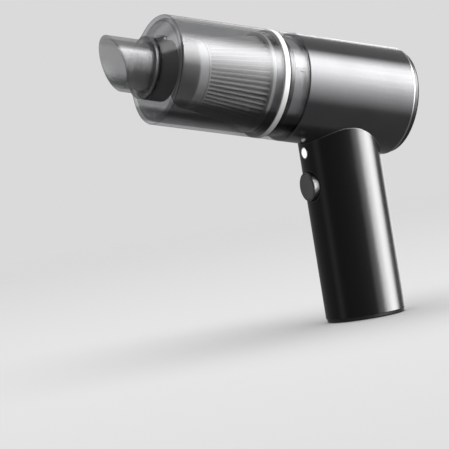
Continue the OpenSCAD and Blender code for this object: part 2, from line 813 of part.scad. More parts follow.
// Moulded rear of the filter: a flange on the collar's spigot and a spigot inside it
module filter_base() {
    base_r = spigot_bore_r - slide_gap;
    color("whitesmoke") in_body() rotate_extrude() polygon([
        [base_r - filter_wall, spigot_front - filter_spigot_l], [base_r, spigot_front - filter_spigot_l],
        [base_r, spigot_front], [cup_bore_r - 3 * slide_gap, spigot_front],
        [cup_bore_r - 3 * slide_gap, pleat_back],
        [pleat_rear_r - pleat_depth - paper_t - filter_wall, pleat_back],
        [pleat_rear_r - pleat_depth - paper_t - filter_wall, spigot_front],
        [base_r - filter_wall, spigot_front]]);
}

// Pleated paper cone, narrower towards the front
module filter_pleats() {
    step = 180 / pleat_count;
    outer = [for (i = [0:2 * pleat_count - 1]) let (r = pleat_rear_r - (i % 2) * pleat_depth)
        [r * cos(i * step), r * sin(i * step)]];
    inner = [for (i = [0:2 * pleat_count - 1]) let (r = pleat_rear_r - (i % 2) * pleat_depth - paper_t)
        [r * cos(i * step), r * sin(i * step)]];
    color("white") in_body(pleat_back) linear_extrude(pleat_l, scale = pleat_front_d / 2 / pleat_rear_r)
        difference() {
            polygon(outer);
            polygon(inner);
        }
}

// Ribbed cone that the paper rests on
module filter_cage() {
    paper_bore_r = pleat_rear_r - pleat_depth - paper_t;
    rear_r = paper_bore_r - fit_gap;
    front_r = paper_bore_r * pleat_front_d / 2 / pleat_rear_r - fit_gap;
    wall = filter_wall / 2;
    rows = 3;
    window_w = 10;
    bar_w = 2;
    row_l = (pleat_l - 2 * bar_w) / rows;
    color("whitesmoke") in_body() difference() {
        rotate_extrude() polygon([
            [rear_r - wall, pleat_back], [rear_r, pleat_back],
            [front_r, pleat_front], [front_r - wall, pleat_front]]);
        for (row = [0:rows - 1]) translate([0, 0, pleat_back + 1.5 * bar_w + row * row_l])
            around(8) translate([0, -window_w / 2, 0]) cube([body_r, window_w, row_l - bar_w]);
    }
}

// Front cap of the filter, a shallow pot over the ends of the pleats
module filter_cap() {
    rear_r = pleat_front_d / 2;
    front_r = filter_cap_d / 2;
    round_r = 1;
    color("whitesmoke") in_body() rotate_extrude() polygon(concat(
        [[0, filter_front - filter_wall], [front_r - 2 * filter_wall, filter_front - filter_wall],
        [rear_r - 2 * filter_wall, pleat_front], [rear_r, pleat_front]],
        arc_points(front_r - round_r, filter_front - round_r, round_r, 0, 90),
        [[0, filter_front]]));
}

// Handle tube, cut at the top to sit against the body, with holes for the button, lamp and socket
module handle_tube() {
    color([0.06, 0.06, 0.07]) difference() {
        translate([0, 0, cap_top]) cylinder(r = handle_r, h = saddle_front - cap_top + 1);
        translate([0, 0, cap_top - eps]) cylinder(r = handle_bore_r, h = axis_height);
        in_body(-rear_reach) cylinder(r = body_r, h = rear_reach + front_reach);
        translate([-handle_r - 1, 0, button_z]) rotate([0, 90, 0])
            cylinder(r = bezel_r + tight_gap, h = handle_r);
        translate([-handle_r - 1, 0, lamp_z]) rotate([0, 90, 0])
            cylinder(r = led_bezel_r + tight_gap, h = handle_r);
        translate([0, -usb_t / 2 - 0.2, usb_z - usb_w / 2 - 0.2])
            cube([handle_r + 1, usb_t + 0.4, usb_w + 0.4]);
    }
}

// End cap with a rim, a floor and a ring that plugs into the handle
module handle_end_cap() {
    rim_r = handle_r - cap_inset;
    color("black") difference() {
        union() {
            rotate_extrude() polygon([
                [0, cap_back], [rim_r - cap_edge, cap_back], [rim_r, cap_back + cap_edge], [rim_r, cap_top],
                [cap_ring_r, cap_top], [cap_ring_r, cap_ring_top], [cap_ring_bore_r, cap_ring_top],
                [cap_ring_bore_r, floor_top], [0, floor_top]]);
        }
        translate([0, 0, cap_back - eps]) cylinder(r = pad_d / 2 + 0.1, h = pad_recess + eps);
        for (side = [-1, 1]) translate([side * cap_screw_x, 0, 0]) {
            cylinder(r = screw_head_r + head_gap, h = pad_top + screw_head_h + head_sink);
            cylinder(r = screw_pass_r, h = floor_top + 1, $fn = 24);
        }
    }
}

// Rubber pad that the cleaner stands on
module foot_pad() {
    color("darkslategray") cylinder(r = pad_d / 2, h = pad_top);
}

// Screws through the end cap into the battery frame
module cap_screws() {
    seat = pad_top + screw_head_h + head_sink;
    color("silver") for (side = [-1, 1]) translate([side * cap_screw_x, 0, seat])
        mirror([0, 0, 1]) screw(frame_floor - 0.4 - seat);
}

// Frame inside the handle: floor, rails, roof, the arms up to the neck and the board's bracket
module battery_frame() {
    arm_low = frame_top;
    tab_y = neck_screw_y - neck_boss_r;
    color("darkslategray") difference() {
        union() {
            translate([0, 0, floor_top]) cylinder(r = cap_ring_bore_r - fit_gap, h = frame_plate_t);
            around(3) translate([rail_inner_r, -rail_w / 2, floor_top])
                cube([cap_ring_bore_r - rail_inner_r - 0.5, rail_w, frame_roof - floor_top]);
            translate([0, 0, frame_top]) cylinder(r = handle_bore_r - slide_gap, h = frame_roof_t);
            for (side = [0, 1]) mirror([0, side, 0]) {
                translate([-arm_half_w, arm_y, arm_low]) cube([2 * arm_half_w, arm_t, neck_z - arm_low]);
                translate([-arm_half_w, tab_y, neck_z - tab_t])
                    cube([2 * arm_half_w, arm_y + arm_t - tab_y, tab_t]);
            }
            translate([0, board_y - bracket_t, frame_top])
                cube([2 * board_screw_x, bracket_t, board_top - 1 - frame_top]);
        }
        for (side = [-1, 1]) {
            translate([side * cap_screw_x, 0, floor_top - eps])
                cylinder(r = screw_hole_r, h = frame_plate_t + 2 * eps, $fn = 24);
            translate([0, side * neck_screw_y, neck_z - tab_t - eps])
                cylinder(r = screw_pass_r, h = tab_t + 2 * eps, $fn = 24);
        }
        for (x = lead_x) translate([x, lead_y, frame_top - eps])
            cylinder(r = thin_wire_r + 0.15, h = frame_roof_t + 2 * eps, $fn = 24);
        for (z = board_screw_z) translate([board_screw_x, board_y + eps, z])
            rotate([90, 0, 0]) cylinder(r = board_screw_r + tight_gap, h = bracket_t + 2 * eps, $fn = 24);
    }
}

module battery_cell(index) {
    button_r = 3;
    color("steelblue") rotate([0, 0, 180 + 120 * index]) translate([cell_pitch_r, 0, cell_z]) {
        cylinder(r = cell_d / 2, h = cell_l - 1);
        cylinder(r = button_r, h = cell_l);
    }
}

// Nickel strips: one under two cells, one over two cells and one over the front cell
module cell_strips() {
    strip_w = 6;
    span = cell_pitch_r * sqrt(3);
    color("silver") {
        rotate([0, 0, 240]) translate([cell_pitch_r / 2 - strip_w / 2, -span / 2, frame_floor])
            cube([strip_w, span, strip_t]);
        translate([cell_pitch_r / 2 - strip_w / 2, -span / 2, cell_top]) cube([strip_w, span, strip_t]);
        translate([-cell_pitch_r - strip_w / 2, -strip_w / 2, cell_top])
            cube([cell_pitch_r + strip_w / 2 + lead_x[0] + 1, strip_w, strip_t]);
    }
}

// Leads from the strips up through the frame's roof to the board
module battery_leads() {
    color("red") for (x = lead_x) bar([x, lead_y, frame_top], [x, lead_y, board_low], thin_wire_r);
}

// Screws through the frame's tabs into the neck
module frame_screws() {
    color("silver") for (side = [-1, 1]) translate([0, side * neck_screw_y, neck_z - tab_t])
        mirror([0, 0, 1]) screw(tab_t + neck_grip_l);
}

// Board that stands between the switch and the charging socket
module control_board() {
    color("darkgreen") difference() {
        translate([-board_front, board_y, board_low])
            cube([board_front + board_rear, board_t, board_top - board_low]);
        for (z = board_screw_z) translate([board_screw_x, board_y + board_t + eps, z])
            rotate([90, 0, 0]) cylinder(r = board_screw_r + 0.1, h = board_t + 2 * eps, $fn = 24);
    }
}

module board_screws() {
    color("silver") for (z = board_screw_z)
        translate([board_screw_x, board_y + board_t, z]) rotate([-90, 0, 0])
            screw(board_t + bracket_t - 0.3, head_r = 1.7, head_h = 0.9, r = board_screw_r);
}

// Switch in front of the board, with the hole that its plunger moves in
module switch_body() {
    color("black") difference() {
        translate([-switch_front, -switch_w / 2, button_z - switch_w / 2])
            cube([switch_l, switch_w, switch_w]);
        translate([-switch_front - eps, 0, button_z]) rotate([0, 90, 0])
            cylinder(r = plunger_r + pin_gap + 0.05, h = plunger_bore + eps, $fn = 32);
    }
}

// Charging socket on the board, open at the back of the handle
module usb_socket() {
    color("silver") translate([handle_r - 0.3 - usb_l, -usb_t / 2, usb_z - usb_w / 2]) {
        difference() {
            cube([usb_l, usb_t, usb_w]);
            translate([1, usb_wall, usb_wall])
                cube([usb_l, usb_t - 2 * usb_wall, usb_w - 2 * usb_wall]);
        }
        translate([eps, usb_t / 2 - 0.35, 1.2]) cube([usb_l - 1.5, 0.7, usb_w - 2.4]);
    }
}

// Lens of the lamp
module led_lens() {
    dome_r = 12;
    front = handle_r + lamp_proud;
    color("white") translate([0, 0, lamp_z]) intersection() {
        translate([-front, 0, 0]) rotate([0, 90, 0]) cylinder(r = lens_r, h = front - led_board_front);
        translate([-front + dome_r, 0, 0]) sphere(r = dome_r);
    }
}

// Ring that holds the lens in the handle's wall
module led_bezel() {
    color("silver") translate([0, 0, lamp_z]) rotate([0, -90, 0]) difference() {
        translate([0, 0, led_board_front])
            cylinder(r = led_bezel_r, h = handle_r + lamp_proud - 0.3 - led_board_front);
        translate([0, 0, led_board_front - eps]) cylinder(r = lens_r + tight_gap, h = handle_r);
    }
}

module led_board() {
    color("darkgreen") translate([-led_board_front, 0, lamp_z]) rotate([0, 90, 0])
        cylinder(r = led_bezel_r, h = 1.2);
}

// Wires from the lamp's board to the control board
module led_wires() {
    color("red") for (side = [0, 1]) {
        x = -6 + 2 * side;
        z = lamp_z - 2.6 + 1.4 * side;
        wire([[-led_board_front + 1.2, lead_y, z], [x, lead_y, z], [x, lead_y, board_top]], thin_wire_r);
    }
}

// Wires from the control board through the neck to the motor's tabs
module motor_wires() {
    end_s = bell_back - tab_l / 2;
    color("red") for (side = [-1, 1]) {
        x = port_x + port_wire_step * side;
        wire([[x, lead_y, board_top],
            to_row(wire_u, side * wire_y, s_over(x, wire_u)),
            to_row(wire_u, side * wire_y, end_s),
            to_row(tab_u, side * wire_y, end_s)], wire_r);
    }
}

// Dark ring in the handle's wall round the button
module button_bezel() {
    color("black") intersection() {
        translate([0, 0, button_z]) rotate([0, -90, 0]) difference() {
            translate([0, 0, flange_front + slide_gap]) cylinder(r = bezel_r, h = handle_r);
            cylinder(r = button_r + slide_gap, h = 2 * handle_r);
        }
        cylinder(r = handle_r, h = axis_height);
    }
}

// Push button: a face, a hollow skirt and a flange behind the bezel
module power_button() {
    face_t = 1.6;
    core_r = button_r - button_ring_t;
    color("dimgray") translate([0, 0, button_z]) rotate([0, -90, 0]) rotate_extrude() polygon([
        [0, flange_front - flange_t], [button_flange_r, flange_front - flange_t],
        [button_flange_r, flange_front], [core_r, flange_front],
        [core_r, button_face - 0.3], [core_r - 0.3, button_face],
        [0, button_face], [0, button_face - face_t],
        [core_r - 1.4, button_face - face_t], [core_r - 1.4, flange_front], [0, flange_front]]);
}

// Bright sleeve round the button
module button_ring() {
    core_r = button_r - button_ring_t;
    color("white") translate([0, 0, button_z]) rotate([0, -90, 0])
        tube(button_r, core_r + tight_gap, flange_front, button_face - 0.3);
}

// Plunger that the button pushes into the switch
module switch_plunger() {
    tip = flange_front - flange_t;
    color("white") translate([0, 0, button_z]) rotate([0, -90, 0])
        translate([0, 0, switch_front - plunger_bore + button_travel + 1])
            cylinder(r = plunger_r, h = tip - switch_front + plunger_bore - button_travel - 1, $fn = 32);
}

motor_housing();
intake_duct();
duct_gasket();
intake_guard();
fan_shroud();
impeller();
motor_plate();
motor_can();
motor_magnets();
motor_armature();
motor_shaft();
motor_bushes();
motor_end_bell();
motor_terminals();
motor_cradle();
cradle_damper();
motor_screws();
exhaust_foam();
rear_trim_ring();
rear_cover();
rear_screws();
lock_collar();
seal_ring();
dust_cup();
inlet_tube();
inlet_sleeve();
flap_pin();
inlet_flap();
filter_base();
filter_pleats();
filter_cage();
filter_cap();
handle_tube();
handle_end_cap();
foot_pad();
cap_screws();
battery_frame();
battery_cell(0);  // battery_cell_1
battery_cell(1);  // battery_cell_2
battery_cell(2);  // battery_cell_3
cell_strips();
battery_leads();
frame_screws();
control_board();
board_screws();
switch_body();
usb_socket();
led_lens();
led_bezel();
led_board();
led_wires();
motor_wires();
button_bezel();
power_button();
button_ring();
switch_plunger();
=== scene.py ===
import json
import math

import bpy
from mathutils import Matrix, Vector


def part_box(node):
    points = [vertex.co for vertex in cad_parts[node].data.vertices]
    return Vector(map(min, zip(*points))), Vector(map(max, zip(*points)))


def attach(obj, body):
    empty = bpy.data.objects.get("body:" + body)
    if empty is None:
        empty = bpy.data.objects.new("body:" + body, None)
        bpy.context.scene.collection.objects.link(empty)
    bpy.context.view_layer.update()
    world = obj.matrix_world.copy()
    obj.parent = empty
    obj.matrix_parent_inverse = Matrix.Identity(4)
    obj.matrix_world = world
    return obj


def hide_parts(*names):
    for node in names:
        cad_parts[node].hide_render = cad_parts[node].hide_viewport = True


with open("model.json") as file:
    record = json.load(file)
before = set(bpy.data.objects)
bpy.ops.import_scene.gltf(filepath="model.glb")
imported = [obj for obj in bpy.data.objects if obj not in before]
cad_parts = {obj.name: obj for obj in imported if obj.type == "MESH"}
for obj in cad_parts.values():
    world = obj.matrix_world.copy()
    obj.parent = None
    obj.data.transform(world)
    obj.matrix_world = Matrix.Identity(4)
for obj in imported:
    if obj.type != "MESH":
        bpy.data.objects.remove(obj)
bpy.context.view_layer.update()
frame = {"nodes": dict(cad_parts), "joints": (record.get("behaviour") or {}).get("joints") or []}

mm = 0.001
print("Frame loaded:", len(frame["nodes"]), "nodes")

# The body tube's own frame: Z forward along the nose, X up, origin on the handle's axis
fanJoint = next(joint for joint in frame["joints"] if joint["name"] == "fan_spin")
noseAxis = Vector(fanJoint["axis"]).normalized()
axisPoint = Vector(fanJoint["pos_m"])
sideways = Vector((0, 1, 0))


def placeAlong(forward, origin):
    upward = sideways.cross(forward)
    turn = Matrix((upward, sideways, forward)).transposed().to_4x4()
    return Matrix.Translation(origin) @ turn


noseLift = math.atan2(noseAxis.z, -noseAxis.x)
alongNose = placeAlong(noseAxis, axisPoint)


def span(node):  # back and front of a node along the nose, and its greatest radius
    points = [alongNose.inverted() @ vertex.co for vertex in frame["nodes"][node].data.vertices]
    stations = [point.z for point in points]
    return min(stations), max(stations), max(math.hypot(point.x, point.y) for point in points)


bodyRadius = span("dust_cup")[2]

# Modelling helpers
fine = 1e-6  # closer points are one
hair = 0.02 * mm  # keeps two faces from lying in one plane
spare = 1 * mm  # how far a cutter stands out of what it cuts


def clearSelection():
    if bpy.context.object and bpy.context.object.mode != "OBJECT":
        bpy.ops.object.mode_set(mode="OBJECT")
    bpy.ops.object.select_all(action="DESELECT")


def activate(piece):
    clearSelection()
    piece.select_set(True)
    bpy.context.view_layer.objects.active = piece


def selectPoints(piece, wanted):
    bpy.ops.object.mode_set(mode="EDIT")
    bpy.ops.mesh.select_mode(type="VERT")
    bpy.ops.mesh.select_all(action="DESELECT")
    bpy.ops.object.mode_set(mode="OBJECT")
    for vertex in piece.data.vertices:
        vertex.select = wanted(vertex.co)
    bpy.ops.object.mode_set(mode="EDIT")


def selectWhole():
    bpy.ops.mesh.select_all(action="SELECT")


def moveTo(piece, place):
    activate(piece)
    piece.matrix_world = place @ piece.matrix_world
    bpy.ops.object.transform_apply(location=True, rotation=True, scale=True)


def applyModifier(piece, kind, **settings):
    activate(piece)
    modifier = piece.modifiers.new(kind, kind)
    for key, value in settings.items():
        setattr(modifier, key, value)
    bpy.ops.object.modifier_apply(modifier=modifier.name)


def smooth(piece, angle=32):  # smooth shading, in which the large faces keep their own direction
    activate(piece)
    bpy.ops.object.shade_smooth_by_angle(angle=math.radians(angle))
    applyModifier(piece, "WEIGHTED_NORMAL", mode="FACE_AREA", weight=50, keep_sharp=True)
    return piece


def settle(piece, place=alongNose):  # a finished piece goes to its place
    moveTo(piece, place)
    return smooth(piece)


def soften(piece, width, segments=2, angle=50):  # round every edge sharper than the angle
    applyModifier(piece, "BEVEL", width=width, segments=segments, limit_method="ANGLE",
                  angle_limit=math.radians(angle), miter_outer="MITER_ARC")


def cut(piece, *cutters):
    for cutter in cutters:
        applyModifier(piece, "BOOLEAN", operation="DIFFERENCE", object=cutter, solver="EXACT")
        bpy.data.objects.remove(cutter)


def weld(piece, *others):
    for other in others:
        applyModifier(piece, "BOOLEAN", operation="UNION", object=other, solver="EXACT")
        bpy.data.objects.remove(other)


def gather(name, parts):  # several loose parts as one piece
    activate(parts[0])
    for part in parts[1:]:
        part.select_set(True)
    bpy.ops.object.join()
    parts[0].name = name
    return parts[0]


def copyOf(piece, place):
    twin = piece.copy()
    twin.data = piece.data.copy()
    bpy.context.collection.objects.link(twin)
    moveTo(twin, place)
    return twin


def turnFacesOut():
    selectWhole()
    bpy.ops.mesh.normals_make_consistent(inside=False)
    bpy.ops.object.mode_set(mode="OBJECT")


def band(inner, outer, back, front):  # the outline of a plain ring
    return [(inner, back), (outer, back), (outer, front), (inner, front)]


# Turns an outline of (radius, station) points about the Z axis. Each of rounds is a radius and the
# corners that it rounds. An outline that starts on the axis ends on it, and any other is closed.
def turned(name, outline, rounds=(), steps=144, arc=360, start=0):
    clearSelection()
    bpy.ops.mesh.primitive_plane_add(size=1, location=(0, 0, 0))
    piece = bpy.context.object
    piece.name = name
    bpy.ops.object.mode_set(mode="EDIT")
    bpy.ops.mesh.select_mode(type="VERT")
    bpy.ops.mesh.merge(type="CENTER")
    lastR, lastS = 0, 0
    for i, (r, s) in enumerate(outline):
        step = (r - lastR, 0, s - lastS)
        if i == 0:
            bpy.ops.transform.translate(value=step)
        else:
            bpy.ops.mesh.extrude_region_move(TRANSFORM_OT_translate={"value": step})
        lastR, lastS = r, s
    if outline[0][0] > 0:  # close the outline on itself
        ends = [outline[0], outline[-1]]
        selectPoints(piece, lambda co: any(math.hypot(co.x - r, co.z - s) < fine for r, s in ends))
        bpy.ops.mesh.edge_face_add()
    for radius, corners in rounds:
        selectPoints(piece, lambda co: any(math.hypot(co.x - r, co.z - s) < fine for r, s in corners))
        bpy.ops.mesh.bevel(offset=radius, segments=4, affect="VERTICES")
    selectWhole()
    if start:
        bpy.ops.transform.rotate(value=-math.radians(start), orient_axis="Z", center_override=(0, 0, 0))
    bpy.ops.mesh.spin(steps=steps, angle=math.radians(arc), center=(0, 0, 0), axis=(0, 0, 1))
    selectWhole()
    bpy.ops.mesh.remove_doubles(threshold=fine)
    if arc < 360:  # close the two ends
        bpy.ops.mesh.select_all(action="DESELECT")
        bpy.ops.mesh.select_non_manifold()
        bpy.ops.mesh.edge_face_add()
    turnFacesOut()
    return piece


def block(low, high, place=Matrix.Identity(4)):  # a box between two corners
    clearSelection()
    bpy.ops.mesh.primitive_cube_add(size=1, location=(Vector(low) + Vector(high)) / 2)
    piece = bpy.context.object
    piece.scale = Vector(high) - Vector(low)
    bpy.ops.object.transform_apply(location=True, rotation=True, scale=True)
    moveTo(piece, place)
    return piece


def drum(radius, back, front, place, steps=96):  # a plain round cutter or core
    clearSelection()
    bpy.ops.mesh.primitive_cylinder_add(vertices=steps, radius=radius, depth=front - back,
                                        location=(0, 0, (back + front) / 2))
    piece = bpy.context.object
    bpy.ops.object.transform_apply(location=True, rotation=True, scale=True)
    moveTo(piece, place)
    return piece


def bothSides(x, y, z=0):  # two places, either side of the handle's axis
    return [Matrix.Translation((side * x, side * y, z)) for side in (-1, 1)]


# Shader maths: a socket that can be added, multiplied and so on
class Link:
    def __init__(self, finish, socket):
        self.finish = finish
        self.socket = socket

    def maths(self, operation, first, second):
        return self.finish.node("ShaderNodeMath", {"operation": operation}, {0: first, 1: second})

    def __add__(self, other):
        return self.maths("ADD", self, other)

    def __radd__(self, other):
        return self.maths("ADD", other, self)

    def __sub__(self, other):
        return self.maths("SUBTRACT", self, other)

    def __rsub__(self, other):
        return self.maths("SUBTRACT", other, self)

    def __mul__(self, other):
        return self.maths("MULTIPLY", self, other)

    def __rmul__(self, other):
        return self.maths("MULTIPLY", other, self)

    def __lt__(self, other):
        return self.maths("LESS_THAN", self, other)

    def atMost(self, top):
        return self.maths("MINIMUM", self, top)

    def atLeast(self, low):
        return self.maths("MAXIMUM", self, low)


class Finish:
    def __init__(self, name, owner=None):
        self.material = owner or bpy.data.materials.new(name)
        self.material.use_nodes = True
        self.tree = self.material.node_tree
        self.tree.nodes.clear()
        if owner is None:
            self.coords = self.node("ShaderNodeTexCoord", out="Object")

    def node(self, kind, settings=None, sockets=None, out=0):
        made = self.tree.nodes.new(kind)
        for key, value in (settings or {}).items():
            if key == "stops":
                ramp = made.color_ramp
                while len(ramp.elements) < len(value):
                    ramp.elements.new(0.5)
                for element, (position, colour) in zip(ramp.elements, value):
                    element.position = position
                    element.color = colour
            else:
                setattr(made, key, value)
        for key, value in (sockets or {}).items():
            if isinstance(value, Link):
                self.tree.links.new(value.socket, made.inputs[key])
            else:
                made.inputs[key].default_value = value
        return Link(self, made.outputs[out]) if len(made.outputs) else None

    def vector(self, operation, first, second, out="Vector"):
        return self.node("ShaderNodeVectorMath", {"operation": operation}, {0: first, 1: second}, out)

    def offset(self):  # from the middle of the body's axis
        return self.vector("SUBTRACT", self.coords, axisPoint)

    def station(self):  # along the nose
        return self.vector("DOT_PRODUCT", self.offset(), noseAxis, "Value")

    def below(self):  # down from the axis, in radii of the body
        return self.vector("DOT_PRODUCT", self.offset(), noseAxis.cross(sideways) / bodyRadius, "Value")

    def radius(self):  # from the body's axis
        lever = self.vector("CROSS_PRODUCT", self.offset(), noseAxis)
        return self.vector("LENGTH", lever, (0, 0, 0), "Value")

    def noise(self, scale, detail=3, stretch=(1, 1, 1)):
        where = self.coords
        if stretch != (1, 1, 1):
            where = self.node("ShaderNodeMapping", {}, {"Vector": where, "Scale": stretch})
        return self.node("ShaderNodeTexNoise", {}, {"Vector": where, "Scale": scale, "Detail": detail})

    def profile(self, value, stops):  # a level for each value, straight between the stops
        levels = [(position, grey(level)) for position, level in stops]
        return self.node("ShaderNodeValToRGB", {"stops": levels}, {"Fac": value})

    def ramp(self, value, low, high):  # 0 below low, 1 above high
        return self.profile(value, [(low, 0), (high, 1)])

    def blendColours(self, factor, first, second):
        return self.node("ShaderNodeMix", {"data_type": "RGBA"}, {0: factor, 6: first, 7: second}, out=2)

    def bump(self, height, depth):
        return self.node("ShaderNodeBump", {}, {"Height": height, "Distance": depth, "Strength": 1.0})

    def mix(self, factor, first, second):  # of two surfaces
        return self.node("ShaderNodeMixShader", {}, {0: factor, 1: first, 2: second})

    def plastic(self, **sockets):
        named = {key.replace("_", " "): value for key, value in sockets.items()}
        return self.node("ShaderNodeBsdfPrincipled", {}, named)

    def show(self, surface):
        self.node("ShaderNodeOutputMaterial", {}, {"Surface": surface})
        return self.material


def grey(level):
    return (level, level, level, 1)


def shade(colour, factor):  # a darker or lighter colour
    return tuple(min(1, part * factor) for part in colour[:3]) + (1,)


print("Making the finishes")

housingLook = {"colour": (0.095, 0.095, 0.098, 1), "worn": (0.12, 0.12, 0.123, 1), "clouds": 45,
               "roughness": 0.18, "metallic": 0.9, "flake": 9000, "flakeDepth": 0.004 * mm}


def makeHousingPaint():
    paint = Finish("satin metallic paint")
    flakes = paint.noise(housingLook["flake"], 2)
    clouds = paint.noise(housingLook["clouds"], 4)
    wear = paint.ramp(clouds, 0.35, 0.75) * 0.5
    tint = paint.blendColours(wear, housingLook["colour"], housingLook["worn"])
    rough = housingLook["roughness"] + (clouds - 0.5) * 0.05 + (flakes - 0.5) * 0.06
    return paint.show(paint.plastic(Base_Color=tint, Roughness=rough, Metallic=housingLook["metallic"],
                                    Normal=paint.bump(flakes, housingLook["flakeDepth"])))


# The pale edge colour and its width paint a highlight along the handle's top edge
handleLook = {"colour": (0.003, 0.003, 0.0032, 1), "roughness": 0.21, "shine": 0.32, "peel": 900,
              "peelDepth": 0.006 * mm, "smears": 60, "rimHighlight": (0.1, 0.1, 0.101, 1),
              "rimHighlightWidth": 0.5 * mm}


def makeHandleGloss():  # a pale line painted along the edge that meets the body tube, as a painted highlight
    gloss = Finish("black gloss plastic")
    peel = gloss.noise(handleLook["peel"], 1)
    smears = gloss.noise(handleLook["smears"], 5, (1, 1, 0.35))
    rough = handleLook["roughness"] + gloss.ramp(smears, 0.45, 0.8) * 0.07
    share = handleLook["rimHighlightWidth"] / bodyRadius
    # Painted highlight: a pale line along the edge that meets the body tube
    rimHighlight = 1 - gloss.ramp(gloss.radius() * (0.5 / bodyRadius), 0.5 + 0.3 * share, 0.5 + 0.5 * share)
    tint = gloss.blendColours(rimHighlight, handleLook["colour"], handleLook["rimHighlight"])
    return gloss.show(gloss.plastic(Base_Color=tint, Roughness=rough,
                                    Specular_IOR_Level=handleLook["shine"],
                                    Normal=gloss.bump(peel, handleLook["peelDepth"])))


# Gloss goes by the slant towards the eye, from square on to edge on. The shade band is painted shade for
# the dark reflection and refraction low in the clear walls; it goes by the height, from the middle of the
# body down to its underside, and deep is the colour seen through it.
clearLook = {"cup": (0.74, 0.743, 0.746, 1), "collar": (0.85, 0.853, 0.856, 1),
             "inlet": (0.8, 0.803, 0.806, 1), "deep": (0.33, 0.332, 0.335, 1),
             "sheen": (0.95, 0.95, 0.96, 1), "milk": (0.2, 0.202, 0.204, 1), "inletMilk": 0.24,
             "inletShare": 0.012, "ior": 1.33, "edgeSheen": 0.24, "roughness": 0.11, "scuffs": 240,
             "cornerBack": 8.1 * mm, "cornerWidth": 0.35 * mm, "cornerDepth": 0.7,
             "gloss": [(0, 0.012), (0.115, 0.015), (0.135, 0.034), (0.155, 0.041), (0.18, 0.05),
                       (0.245, 0.056), (0.285, 0.05), (0.34, 0.042), (0.4, 0.035), (0.5, 0.05),
                       (0.62, 0.14), (0.76, 0.23), (1, 0.26)],
             "shadeBand": [(0, 0), (0.57, 0), (0.65, 1), (0.85, 1), (0.93, 0.15), (1, 0.1)],
             "inletShadeBand": [(0, 0), (0.1, 0.1), (0.22, 0.8), (0.32, 0.8), (0.4, 0), (1, 0)]}
cupCorner = span("dust_cup")[1] - clearLook["cornerBack"]


# Clear plastic is painted darker in a band low down, as painted shade, and in a dark line at the cup's
# front corner, partly the tint of its thicker plastic and partly painted shade from refraction there
def makeClearPlastic(name, tint, shadeBand, corner=None, share=0, milk=0):
    clear = Finish(name)
    scuffs = clear.noise(clearLook["scuffs"], 6)
    # Painted shade: a darker band low in the clear walls
    deep = clear.profile(clear.below() + (scuffs - 0.5) * 0.06, shadeBand)
    if corner:
        # A dark line painted at the cup's front corner, partly the tint of its thicker plastic and partly
        # painted shade
        station = clear.station()
        near = clear.node("ShaderNodeMath", {"operation": "ABSOLUTE"}, {0: station - corner})
        line = 1 - clear.ramp(near * (1 / (4 * clearLook["cornerWidth"])), 0.12, 0.32)
        deep = (deep * (station < corner)).atLeast(line * clearLook["cornerDepth"])
        slant = clear.node("ShaderNodeLayerWeight", {}, {"Blend": 0.5}, out="Facing")
        factor = clear.profile(slant, clearLook["gloss"])
    else:
        sheen = clear.node("ShaderNodeFresnel", {}, {"IOR": clearLook["ior"]})
        factor = (share + sheen * (1 - share)).atMost(clearLook["edgeSheen"])
    thin = clear.node("ShaderNodeBsdfTransparent", {}, {"Color": tint})
    shadedLayer = clear.node("ShaderNodeBsdfTransparent", {}, {"Color": clearLook["deep"]})
    through = clear.mix(deep, thin, shadedLayer)
    if milk:
        cloud = clear.node("ShaderNodeBsdfDiffuse", {}, {"Color": clearLook["milk"]})
        through = clear.mix(milk, through, cloud)
    rough = clearLook["roughness"] + clear.ramp(scuffs, 0.6, 0.85) * 0.1
    gloss = clear.plastic(Base_Color=clearLook["sheen"], Roughness=rough, Metallic=1.0)
    return clear.show(clear.mix(factor, through, gloss))


def makeMoulded(name, colour, roughness, grain=2500, depth=0.012, shift=0.12):
    moulded = Finish(name)
    texture = moulded.noise(grain, 3)
    clouds = moulded.noise(70, 4)
    tint = moulded.blendColours(clouds, shade(colour, 1 - shift), shade(colour, 1 + shift))
    rough = roughness + (clouds - 0.5) * 0.12
    return moulded.show(moulded.plastic(Base_Color=tint, Roughness=rough,
                                        Normal=moulded.bump(texture, depth * mm)))


# The seal's darker colour, from the given height down, is painted shade
sealLook = {"colour": (0.84, 0.84, 0.83, 1), "dusty": (0.2, 0.2, 0.197, 1), "dustFrom": 0.05,
            "roughness": 0.42, "grain": 1800, "grainDepth": 0.006 * mm}


def makeSealRubber():  # painted shade darkens its lower part
    seal = Finish("white seal rubber")
    grain = seal.noise(sealLook["grain"], 3)
    # Painted shade on the lower part of the ring
    dust = seal.ramp(seal.below() + (seal.noise(90, 3) - 0.5) * 0.05, sealLook["dustFrom"], 1.0)
    tint = seal.blendColours(dust, sealLook["colour"], sealLook["dusty"])
    return seal.show(seal.plastic(Base_Color=tint, Roughness=sealLook["roughness"],
                                  Normal=seal.bump(grain, sealLook["grainDepth"])))


def makeMetal(name, colour, roughness, grain=(1, 1, 1), depth=0.004):
    metal = Finish(name)
    lines = metal.noise(3500, 2, grain)
    clouds = metal.noise(120, 3)
    tint = metal.blendColours(metal.ramp(clouds, 0.3, 0.7), colour, shade(colour, 0.82))
    rough = roughness + (lines - 0.5) * 0.1
    return metal.show(metal.plastic(Base_Color=tint, Metallic=1.0, Roughness=rough,
                                    Normal=metal.bump(lines, depth * mm)))


